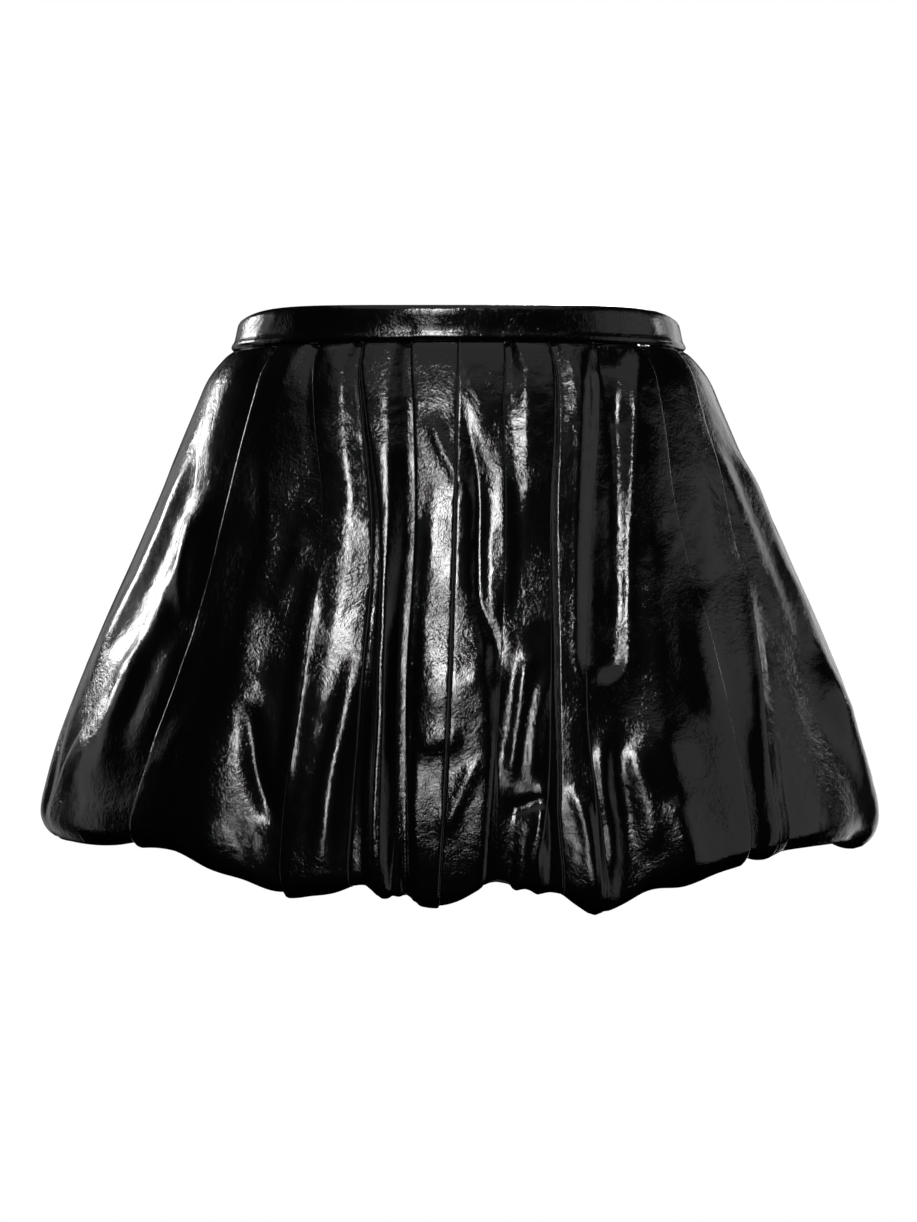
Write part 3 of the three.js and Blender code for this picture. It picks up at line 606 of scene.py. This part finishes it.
panels = {  # node: its quarter, and the part of the quarter that it covers
    "front_centre_left": ("frontLeft", "centre"), "front_side_left": ("frontLeft", "side"),
    "front_centre_right": ("frontRight", "centre"), "front_side_right": ("frontRight", "side"),
    "back_centre_left": ("backLeft", "centre"), "back_side_left": ("backLeft", "side"),
    "back_centre_right": ("backRight", "centre"), "back_side_right": ("backRight", "side"),
}
zipEnd, zipOpening = 0.42, 0.6  # share of the length that the zip opens, and mm between its edges
seamRoll = {"depth": 0.3, "reach": 0.6}  # mm that the leather turns in at each seam

surfaces = {quarter: quarterSurface(quarter) for quarter in pleats}
for surface in surfaces.values():
    normal = gridNormals(surface["middle"])
    surface["normal"] = normal * (1 if surface["isFront"] else -1) * surface["mirror"]
outsides = {}  # outer points, normals and distances from the first seam, for the stitches
for node, (quarter, part) in panels.items():
    surface = surfaces[quarter]
    cut = slice(0, surface["pieced"] + 1) if part == "centre" else slice(surface["pieced"], None)
    middle, normal = surface["middle"][:, cut].copy(), surface["normal"][:, cut]
    fromStart = runningLength(middle, 1)
    for distance in (fromStart, fromStart[:, -1:] - fromStart):
        middle -= normal * (seamRoll["depth"] * np.exp(-((distance / seamRoll["reach"]) ** 2)))[..., None]
    startGap = np.full(len(middle), form["seamGap"] / 2)
    if part == "centre" and not surface["isFront"]:
        startGap[fineShares < zipEnd] = zipOpening / 2
    alongStart = middle[:, 1] - middle[:, 0]
    alongEnd = middle[:, -2] - middle[:, -1]
    middle[:, 0] += alongStart / np.linalg.norm(alongStart, axis=-1)[:, None] * startGap[:, None]
    middle[:, -1] += alongEnd / np.linalg.norm(alongEnd, axis=-1)[:, None] * form["seamGap"] / 2
    half = form["leather"] / 2
    outsides[node] = {"points": middle + normal * half, "normal": normal, "start": fromStart}
    piece = makeWall(node + "_leather", middle + normal * half, middle - normal * half,
                     [patentMaterial, backMaterial])
    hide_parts(node)
    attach(piece, "skirt")
    print("panel", node, "faces", len(piece.data.polygons))

# The waistband: leather folded over an interlining, with its foot stitched to the skirt
band = {
    "height": 21.0, "bottomWidth": 136.0, "bottomDepth": 100.2, "topWidth": 130.5,
    "topDepth": 94.7, "frontUpright": 3.0, "sideDip": 7.0, "shoulderRise": 3.0, "ripple": 0.12,
    "meanRadius": 118.0, "endRound": 0.6, "endReach": 1.3, "steps": 150,
    "profile": [  # height above the band's middle, and how far in from its ring
        (-10.7, 1.3), (-10.5, 0.75), (-9.9, 0.1), (-9.0, -0.5), (-8.0, -0.82), (-6.9, -0.72), (-5.6, -0.3),
        (-4.0, -0.12), (-1.5, -0.3), (1.5, -0.55), (4.5, -0.82), (7.4, -0.95), (9.3, -0.5), (10.1, 0.3),
        (10.45, 1.0), (10.45, 1.6), (10.1, 2.2), (9.4, 2.52), (8.2, 2.6), (6.0, 2.6), (3.0, 2.6), (0.0, 2.6),
        (-3.0, 2.6), (-5.2, 2.6), (-6.8, 2.6), (-8.0, 2.6), (-9.0, 2.55), (-10.1, 2.3), (-10.6, 1.9)],
}


def bandPoint(turn, height, inward):
    # the waistband's own ring: turn in radians from the front centre
    t = height / band["height"] + 0.5
    squared = 1 + form["squareness"] * np.sin(2 * turn) ** 2
    halfWidth = band["bottomWidth"] + (band["topWidth"] - band["bottomWidth"]) * t - inward
    halfDepth = band["bottomDepth"] + (band["topDepth"] - band["bottomDepth"]) * t - inward
    halfDepth = halfDepth + band["frontUpright"] * t * np.maximum(np.cos(turn), 0) ** 2
    dip = t * (band["sideDip"] * np.sin(turn) ** 8 - band["shoulderRise"] * np.sin(turn) ** 2)
    return np.stack([halfWidth * np.sin(turn) * squared, -halfDepth * np.cos(turn) * squared,
                     height - dip], -1)


def waistband(name, node, startTurn, endTurn, steps):
    turn = np.linspace(startTurn, endTurn, steps + 1)[:, None]
    height, inward = (np.array(column)[None, :] for column in zip(*band["profile"]))
    outside = inward < 1.3
    ripple = np.sin(turn * 11 + height * 0.08) + 0.6 * np.sin(turn * 29 - height * 0.15 + 1.3)
    inward = inward + band["ripple"] * ripple * outside * smooth(10.4 - np.abs(height), 0, 4)
    toEnd = band["meanRadius"] * np.minimum(turn - startTurn, endTurn - turn)
    inward = inward + band["endRound"] * np.exp(-((toEnd / band["endReach"]) ** 2)) * outside
    points = bandPoint(turn + 0 * inward, height + 0 * inward, inward)
    around = points.shape[1]
    points = points.reshape(-1, 3)
    s, k = [m.ravel() for m in np.meshgrid(np.arange(steps), np.arange(around), indexing="ij")]
    onward = (k + 1) % around
    skin = np.stack([s * around + k, s * around + onward, (s + 1) * around + onward, (s + 1) * around + k], -1)
    k = np.arange(around // 2)
    cap = np.stack([k, k + 1, around - 1 - k, (around - k) % around], -1)
    cap = cap[cap[:, 1] < cap[:, 2]]
    faces = np.concatenate([skin, cap[:, ::-1], cap + steps * around])
    if signedVolume(points, faces) < 0:
        faces = faces[:, ::-1]
    piece = makeMesh(name, points, faces, [patentMaterial], np.zeros(len(faces)))
    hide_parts(node)
    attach(piece, "skirt")


quarterTurn = math.pi / 2
sideGap = form["seamGap"] / 2 / band["bottomDepth"]
zipGap = zipOpening / 2 / band["bottomWidth"]
waistband("waistband_front_leather", "waistband_front", -quarterTurn + sideGap, quarterTurn - sideGap,
          2 * band["steps"])
waistband("waistband_back_left_leather", "waistband_back_left", quarterTurn + sideGap, math.pi - zipGap,
          band["steps"])
waistband("waistband_back_right_leather", "waistband_back_right", math.pi + zipGap,
          3 * quarterTurn - sideGap, band["steps"])
print("waistband made")


# The stitches and the zip's coil: one small bead set along a line at an even pitch
def alongPathTree(name):
    tree = bpy.data.node_groups.new(name, "GeometryNodeTree")
    face = tree.interface
    face.new_socket("Line", in_out="INPUT", socket_type="NodeSocketGeometry")
    for label, value in (("Pitch", 0.0024), ("Length", 0.0017), ("Thickness", 0.0004), ("Lean", 0.0)):
        socket = face.new_socket(label, in_out="INPUT", socket_type="NodeSocketFloat")
        socket.default_value = value
    face.new_socket("Finish", in_out="INPUT", socket_type="NodeSocketMaterial")
    face.new_socket("Row", in_out="OUTPUT", socket_type="NodeSocketGeometry")

    def add(kind, inputs, **settings):
        # a node with its settings, and its inputs set to a value or joined to another node
        node = tree.nodes.new(kind)
        for key, value in settings.items():
            setattr(node, key, value)
        for label, value in inputs.items():
            if isinstance(value, bpy.types.NodeSocket):
                tree.links.new(value, node.inputs[label])
            else:
                node.inputs[label].default_value = value
        return node.outputs

    given = add("NodeGroupInput", {})
    outward = add("GeometryNodeInputNamedAttribute", {"Name": "outward"}, data_type="FLOAT_VECTOR")
    path = add("GeometryNodeMeshToCurve", {"Mesh": given["Line"]})
    spaced = add("GeometryNodeResampleCurve", {"Curve": path["Curve"], "Length": given["Pitch"]}, mode="LENGTH")
    bead = add("GeometryNodeMeshUVSphere", {"Segments": 6, "Rings": 5, "Radius": 0.5})
    size = add("ShaderNodeCombineXYZ", {"X": given["Length"], "Y": given["Thickness"], "Z": given["Thickness"]})
    shaped = add("GeometryNodeTransform", {"Geometry": bead["Mesh"], "Scale": size["Vector"]})
    forward = add("GeometryNodeInputTangent", {})
    upright = add("FunctionNodeAlignRotationToVector", {"Vector": outward["Attribute"]}, axis="Z")
    facing = add("FunctionNodeAlignRotationToVector",
                 {"Rotation": upright["Rotation"], "Vector": forward["Tangent"]}, axis="X", pivot_axis="Z")
    lean = add("ShaderNodeCombineXYZ", {"Z": given["Lean"]})
    turned = add("FunctionNodeRotateRotation", {"Rotation": facing["Rotation"], "Rotate By": lean["Vector"]},
                 rotation_space="LOCAL")
    placed = add("GeometryNodeInstanceOnPoints", {"Points": spaced["Curve"], "Instance": shaped["Geometry"],
                                                  "Rotation": turned["Rotation"]})
    solid = add("GeometryNodeRealizeInstances", {"Geometry": placed["Instances"]})
    finished = add("GeometryNodeSetMaterial", {"Geometry": solid["Geometry"], "Material": given["Finish"]})
    add("NodeGroupOutput", {"Row": finished["Geometry"]})
    return tree


stitchTree = alongPathTree("row_along_a_line")


def rowAlong(name, lines, outward, finish, sizes):
    # lines: lists of points in mm; outward: a direction for each point
    mesh = bpy.data.meshes.new(name + "_line")
    points = np.concatenate(lines) * mm
    starts = np.cumsum([0] + [len(line) for line in lines])
    edges = [(i, i + 1) for a, b in zip(starts[:-1], starts[1:]) for i in range(a, b - 1)]
    mesh.from_pydata(points.tolist(), edges, [])
    layer = mesh.attributes.new("outward", "FLOAT_VECTOR", "POINT")
    layer.data.foreach_set("vector", np.concatenate(outward).astype(np.float32).ravel())
    source = addObject(name + "_line", mesh)
    modifier = source.modifiers.new("row", "NODES")
    modifier.node_group = stitchTree
    for item in stitchTree.interface.items_tree:
        if item.in_out == "INPUT" and item.name in sizes:
            modifier[item.identifier] = float(sizes[item.name])
        if item.in_out == "INPUT" and item.name == "Finish":
            modifier[item.identifier] = finish
    evaluated = source.evaluated_get(bpy.context.evaluated_depsgraph_get())
    result = bpy.data.meshes.new_from_object(evaluated)
    source.modifiers.remove(modifier)
    bpy.data.objects.remove(source)
    result.name = name
    result.polygons.foreach_set("use_smooth", np.ones(len(result.polygons), bool))
    if not result.materials:
        result.materials.append(finish)
    piece = addObject(name, result)
    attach(piece, "skirt")
    return piece


def lineBeside(node, distance, lift):
    # a line on the grain side that keeps its distance in mm from the seam where a panel starts
    gaps, points, normal = (outsides[node][name] for name in ("start", "points", "normal"))
    line, out = (np.array([[np.interp(distance, place, of[:, k]) for k in range(3)]
                           for place, of in zip(gaps, grid)]) for grid in (points, normal))
    return line + out * lift, out


def threadMaterial():
    material, tree, shader = makeMaterial("sewing_thread_black")
    shader.inputs["Roughness"].default_value = 0.32
    shader.inputs["Sheen Weight"].default_value = 0.3
    # the thread's colour: bands along the twist of its plies, with the light bands raised to grey as a painted
    # glint on the stitches
    twistAndGlint = addTexture(tree, "ShaderNodeTexWave", Scale=900.0, Distortion=0.4,
                       bands_direction="DIAGONAL").outputs["Fac"]
    addColours(tree, shader, twistAndGlint, (0.02, 0.02, 0.021, 1), (0.07, 0.07, 0.072, 1))
    addRelief(tree, shader, twistAndGlint, 0.00008)
    return material


stitch = {"Pitch": 0.0015, "Length": 0.0011, "Thickness": 0.00055, "Lean": 0.0, "beside": 0.5, "lift": 0.1}
thread = threadMaterial()
stitchRows = {  # name: the panels whose first edge the row runs beside
    "stitches_centre_front": ["front_centre_left"],
    "stitches_side_front_right": ["front_side_right"],
    "stitches_side_front_left": ["front_side_left"],
    "stitches_side_back": ["back_side_left", "back_side_right"],
    "stitches_centre_back": ["back_centre_left", "back_centre_right"],
}
for name, nodes in stitchRows.items():
    found = [lineBeside(node, stitch["beside"], stitch["lift"]) for node in nodes]
    row = rowAlong(name, [line for line, out in found], [out for line, out in found], thread, stitch)
    print(name, "faces", len(row.data.polygons))

# The closed zip: tapes and coil behind the back seam, slider and pull on the band
zipTapes = {"width": 16.0, "thickness": 0.5, "below": 1.45, "behindBand": 3.1, "selvedge": 0.15}
zipCoil = {"Pitch": 0.0012, "Length": 0.0036, "Thickness": 0.0009, "Lean": math.pi / 2, "lift": 0.75}
slider = {"width": 6.0, "height": 8.0, "depth": 1.8, "topZ": 8.5, "standOff": 0.85, "bevel": 0.45,
          "earThickness": 1.1, "earRadius": 1.5, "earSpread": 4.4, "earBevel": 0.2}
pin = {"radius": 0.6, "drop": 3.2, "standOff": 2.0, "bevel": 0.1, "sides": 20}
pull = {"length": 13.0, "width": 5.0, "thickness": 1.0, "eyeRadius": 1.35, "eyeSides": 24, "play": 0.3,
        "bevel": 0.3}


def wovenTape():
    material, tree, shader = makeMaterial("zip_tape_black")
    shader.inputs["Roughness"].default_value = 0.75
    shader.inputs["Sheen Weight"].default_value = 0.35
    weave = addNode(tree, "ShaderNodeMath", operation="MULTIPLY")
    for i, direction in enumerate(("X", "Z")):
        yarn = addTexture(tree, "ShaderNodeTexWave", Scale=560.0, Distortion=0.3, bands_direction=direction)
        tree.links.new(yarn.outputs["Fac"], weave.inputs[i])
    addColours(tree, shader, weave.outputs["Value"], (0.008, 0.008, 0.009, 1), (0.032, 0.032, 0.034, 1))
    addRelief(tree, shader, weave.outputs["Value"], 0.00012)
    return material


def coilPlastic():
    material, tree, shader = makeMaterial("zip_coil_black")
    shader.inputs["Roughness"].default_value = 0.32
    mottle = addTexture(tree, "ShaderNodeTexNoise", Scale=900.0, Detail=2.0).outputs["Fac"]
    addColours(tree, shader, mottle, (0.008, 0.008, 0.009, 1), (0.02, 0.02, 0.022, 1))
    return material


def lacqueredMetal():
    material, tree, shader = makeMaterial("zip_metal_black")
    shader.inputs["Metallic"].default_value = 0.6
    shader.inputs["Coat Weight"].default_value = 0.7
    shader.inputs["Coat Roughness"].default_value = 0.08
    wear = addTexture(tree, "ShaderNodeTexNoise", Scale=380.0, Detail=4.0, Roughness=0.65)
    scratches = addTexture(tree, "ShaderNodeTexNoise", Scale=1500.0, Detail=2.0, Distortion=1.5).outputs["Fac"]
    tone = addColours(tree, shader, wear.outputs["Fac"], (0.012, 0.012, 0.013, 1), (0.05, 0.05, 0.052, 1))
    tone.color_ramp.elements[1].position = 0.8
    rough = addNode(tree, "ShaderNodeMapRange", **{"To Min": 0.22, "To Max": 0.42})
    tree.links.new(scratches, rough.inputs["Value"])
    tree.links.new(rough.outputs["Result"], shader.inputs["Roughness"])
    addRelief(tree, shader, scratches, 0.00003)
    return material


tapeMaterial, coilMaterial, metalMaterial = wovenTape(), coilPlastic(), lacqueredMetal()

# The tapes' line down the inside: behind the band first, then behind the centre-back seam
backWall = surfaces["backLeft"]
behindSeam = (fineShares > 0.03) & (fineShares < 0.345)
bandHeights = np.array([9.5, 4.5, -0.5, -5.5, -10.5])
zipLine = np.concatenate([bandPoint(np.full(5, math.pi), bandHeights, zipTapes["behindBand"]),
                          backWall["middle"][behindSeam, 0]
                          - zipTapes["below"] * backWall["normal"][behindSeam, 0]])
zipOut = np.concatenate([np.tile([0.0, 1.0, 0.0], (5, 1)), backWall["normal"][behindSeam, 0]])
zipLine[:, 0] = zipOut[:, 0] = 0
zipOut /= np.linalg.norm(zipOut, axis=1)[:, None]
spread = np.array([-8.0, -7.85, -7.0, -6.8, -4.0, -1.9, -1.7, 0.0, 1.7, 1.9, 4.0, 6.8, 7.0, 7.85, 8.0])
raised = np.where(np.abs(spread) > 6.9, zipTapes["selvedge"], 0) + np.where(np.abs(spread) < 1.8, 0.12, 0)
raised[[0, -1]] = -0.1
tapeOutside = zipLine[:, None] + np.stack([spread, 0 * spread, 0 * spread], -1)[None]
tapeInside = tapeOutside - zipOut[:, None] * (zipTapes["thickness"] + raised)[None, :, None]
tapes = makeWall("zip_tapes", tapeOutside, tapeInside, [tapeMaterial])
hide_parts("zip_chain")
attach(tapes, "skirt")
coil = rowAlong("zip_coil_teeth", [zipLine - zipOut * zipCoil["lift"]], [-zipOut], coilMaterial, zipCoil)


def addPlate(solid, outline, facing, low, high, bevel):
    # a plate with softened edges: facing "back" it spreads over X and Z, facing "side" over Y and Z
    place = {"back": lambda u, v, w: (u, w, v), "side": lambda u, v, w: (w, u, v)}[facing]
    rings = [[solid.verts.new(place(u, v, w)) for u, v in outline] for w in (low, high)]
    ends = [solid.faces.new(rings[0]), solid.faces.new(rings[1][::-1])]
    for i in range(len(outline)):
        j = (i + 1) % len(outline)
        solid.faces.new((rings[0][i], rings[0][j], rings[1][j], rings[1][i]))
    edges = list(ends[0].edges) + list(ends[1].edges)
    bmesh.ops.bevel(solid, geom=edges, offset=bevel, segments=3, profile=0.5, affect="EDGES")


def addEye(solid, radius, bore, halfLength, centre, sides):
    # a round knuckle along X with a hole through it
    soft = 0.18
    profile = [(-halfLength, bore), (-halfLength, radius - soft), (soft - halfLength, radius),
               (halfLength - soft, radius), (halfLength, radius - soft), (halfLength, bore)]
    rings = [[solid.verts.new((x, centre[0] + r * math.cos(2 * math.pi * k / sides),
                               centre[1] + r * math.sin(2 * math.pi * k / sides))) for k in range(sides)]
             for x, r in profile]
    for here, onward in zip(rings, rings[1:] + rings[:1]):
        for k in range(sides):
            n = (k + 1) % sides
            solid.faces.new((here[k], here[n], onward[n], onward[k]))


def arc(centre, radius, start, end, steps):
    angles = [math.radians(start + (end - start) * k / steps) for k in range(steps + 1)]
    return [(centre[0] + radius * math.cos(a), centre[1] + radius * math.sin(a)) for a in angles]


def finishFitting(solid, name, node, body):
    # upright shapes in mm are leaned to the band's slope and set on its back
    bmesh.ops.recalc_face_normals(solid, faces=solid.faces)
    lean = math.atan2(band["bottomDepth"] - band["topDepth"], band["height"])
    top = bandPoint(np.array(math.pi), np.array(slider["topZ"]), -slider["standOff"]) * mm
    solid.transform(Matrix.Translation(Vector(top)) @ Matrix.Rotation(lean, 4, "X") @ Matrix.Scale(mm, 4))
    mesh = bpy.data.meshes.new(name)
    solid.to_mesh(mesh)
    solid.free()
    mesh.materials.append(metalMaterial)
    piece = addObject(name, mesh)
    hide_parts(node)
    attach(piece, body)


pinAt = (slider["depth"] + pin["standOff"], -pin["drop"])  # y and z
solid = bmesh.new()
half = slider["width"] / 2
body = arc((0, -half), half, 180, 0, 20) + [(0.36 * slider["width"], -slider["height"]),
                                           (-0.36 * slider["width"], -slider["height"])]
addPlate(solid, body, "back", 0, slider["depth"], slider["bevel"])
ear = arc(pinAt, slider["earRadius"], 90, -90, 12) + [(0.9, pinAt[1] - slider["earRadius"]),
                                                      (0.9, pinAt[1] + slider["earRadius"])]
for side in (-1, 1):
    middle = side * (slider["earSpread"] + slider["earThickness"]) / 2
    addPlate(solid, ear, "side", middle - slider["earThickness"] / 2, middle + slider["earThickness"] / 2,
             slider["earBevel"])
reach = (slider["earSpread"] + slider["earThickness"]) / 2
pinRound = arc(pinAt, pin["radius"], 0, 360 - 360 / pin["sides"], pin["sides"] - 1)
addPlate(solid, pinRound, "side", -reach, reach, pin["bevel"])
finishFitting(solid, "zip_slider_body", "zip_slider", "skirt")

solid = bmesh.new()
neck, side = slider["earSpread"] / 2 - pull["play"], pull["width"] / 2
roundAt = -pull["length"] + side
bend = [(1 - t) ** 3 * np.array([neck, -2.35]) + 3 * t * (1 - t) ** 2 * np.array([neck, -pull["length"] / 2])
        + 3 * t**2 * (1 - t) * np.array([side, -pull["length"] / 2]) + t**3 * np.array([side, roundAt])
        for t in np.linspace(0, 1, 9)]
rightEdge = [(neck, -1.0)] + [tuple(point) for point in bend]
outline = rightEdge + arc((0, roundAt), side, 0, -180, 16)[1:-1] + [(-x, z) for x, z in rightEdge[::-1]]
outline = [(x, z + pinAt[1]) for x, z in outline]
addPlate(solid, outline, "back", pinAt[0] - pull["thickness"] / 2, pinAt[0] + pull["thickness"] / 2,
         pull["bevel"])
addEye(solid, pull["eyeRadius"], pin["radius"] + pull["play"], neck, pinAt, pull["eyeSides"])
finishFitting(solid, "zip_pull_tab", "zip_pull", "pull")
print("zip slider and pull made")

# Stage: a pale floor under the hanging skirt, a pale world for the camera and soft lights
camera = {"distance": 2600.0, "height": -166.4, "pixel": 0.6, "imageHeight": 1222, "sensor": 36}
cameraData = bpy.data.cameras.new("camera")
cameraData.sensor_width = camera["sensor"]
cameraData.lens = camera["sensor"] * camera["distance"] / (camera["imageHeight"] * camera["pixel"])
cameraObject = addObject("camera", cameraData)
cameraObject.location = (0, -camera["distance"] * mm, camera["height"] * mm)
cameraObject.rotation_euler = (math.radians(90), 0, 0)
bpy.context.scene.camera = cameraObject

studio = {"paper": 1.0, "dark": 0.0015, "floorZ": -0.46, "floorSize": 60.0}
bpy.context.scene.view_settings.view_transform = "Standard"
world = bpy.data.worlds.new("studio")
bpy.context.scene.world = world
world.use_nodes = True
tree = world.node_tree
background = tree.nodes["Background"]
rays = tree.nodes.new("ShaderNodeLightPath")
shade = tree.nodes.new("ShaderNodeMapRange")
shade.inputs["To Min"].default_value = studio["dark"]
shade.inputs["To Max"].default_value = studio["paper"]
tree.links.new(rays.outputs["Is Camera Ray"], shade.inputs["Value"])
tree.links.new(shade.outputs["Result"], background.inputs["Strength"])
background.inputs["Color"].default_value = (1, 1, 1, 1)

half = studio["floorSize"] / 2
floorMesh = bpy.data.meshes.new("floor")
corners = ((-half, -half), (half, -half), (half, half), (-half, half))
floorMesh.from_pydata([(x, y, studio["floorZ"]) for x, y in corners], [], [(0, 1, 2, 3)])
floorObject = addObject("floor", floorMesh)
paper, tree, shader = makeMaterial("floor_paper")
shader.inputs["Base Color"].default_value = (0, 0, 0, 1)
shader.inputs["Specular IOR Level"].default_value = 0
shader.inputs["Emission Color"].default_value = (1, 1, 1, 1)
shader.inputs["Emission Strength"].default_value = studio["paper"]
floorMesh.materials.append(paper)
floorObject.visible_glossy = False
floorObject.visible_diffuse = False

lamps = [  # softboxes: turn from the front and rise in degrees, distance and size in metres, radiance
    ("key", -8, 36.5, 2.3, (0.28, 0.44), 34),
    ("lower_key", -9, 28, 2.3, (0.3, 0.26), 16),
    ("low_key", -9, 20, 2.3, (0.36, 0.34), 7),
    ("right_wall", 78, 8, 2.6, (2.2, 2.4), 0.5),
    ("left_wall", -104, 5, 2.6, (0.9, 1.8), 0.5),
    ("left_flat", -150, 0, 2.6, (0.9, 2.0), 0.3),
    ("left_rim", -126, 19, 2.4, (0.66, 0.42), 14),
    ("right_rim", 116, 17, 2.4, (0.3, 0.25), 4),
    ("right_flat", 142, 0, 2.6, (1.7, 2.2), 1.0),
    ("ceiling", 0, 71, 2.4, (2.6, 2.0), 0.45),
    ("back_key", 170, 33, 2.4, (0.45, 0.6), 20),
]
aim = Vector((0, 0, -0.17))  # the middle of the skirt
for name, turn, rise, distance, size, radiance in lamps:
    data = bpy.data.lights.new(name, "AREA")
    data.shape = "RECTANGLE"
    data.size, data.size_y = size
    data.energy = radiance * math.pi * data.size * data.size_y
    light = addObject(name, data)
    turn, rise = math.radians(turn), math.radians(rise)
    away = Vector((math.sin(turn) * math.cos(rise), -math.cos(turn) * math.cos(rise), math.sin(rise)))
    light.location = aim + away * distance
    light.rotation_euler = away.to_track_quat("Z", "Y").to_euler()
    light.visible_camera = False
print("stage, lights and camera set")
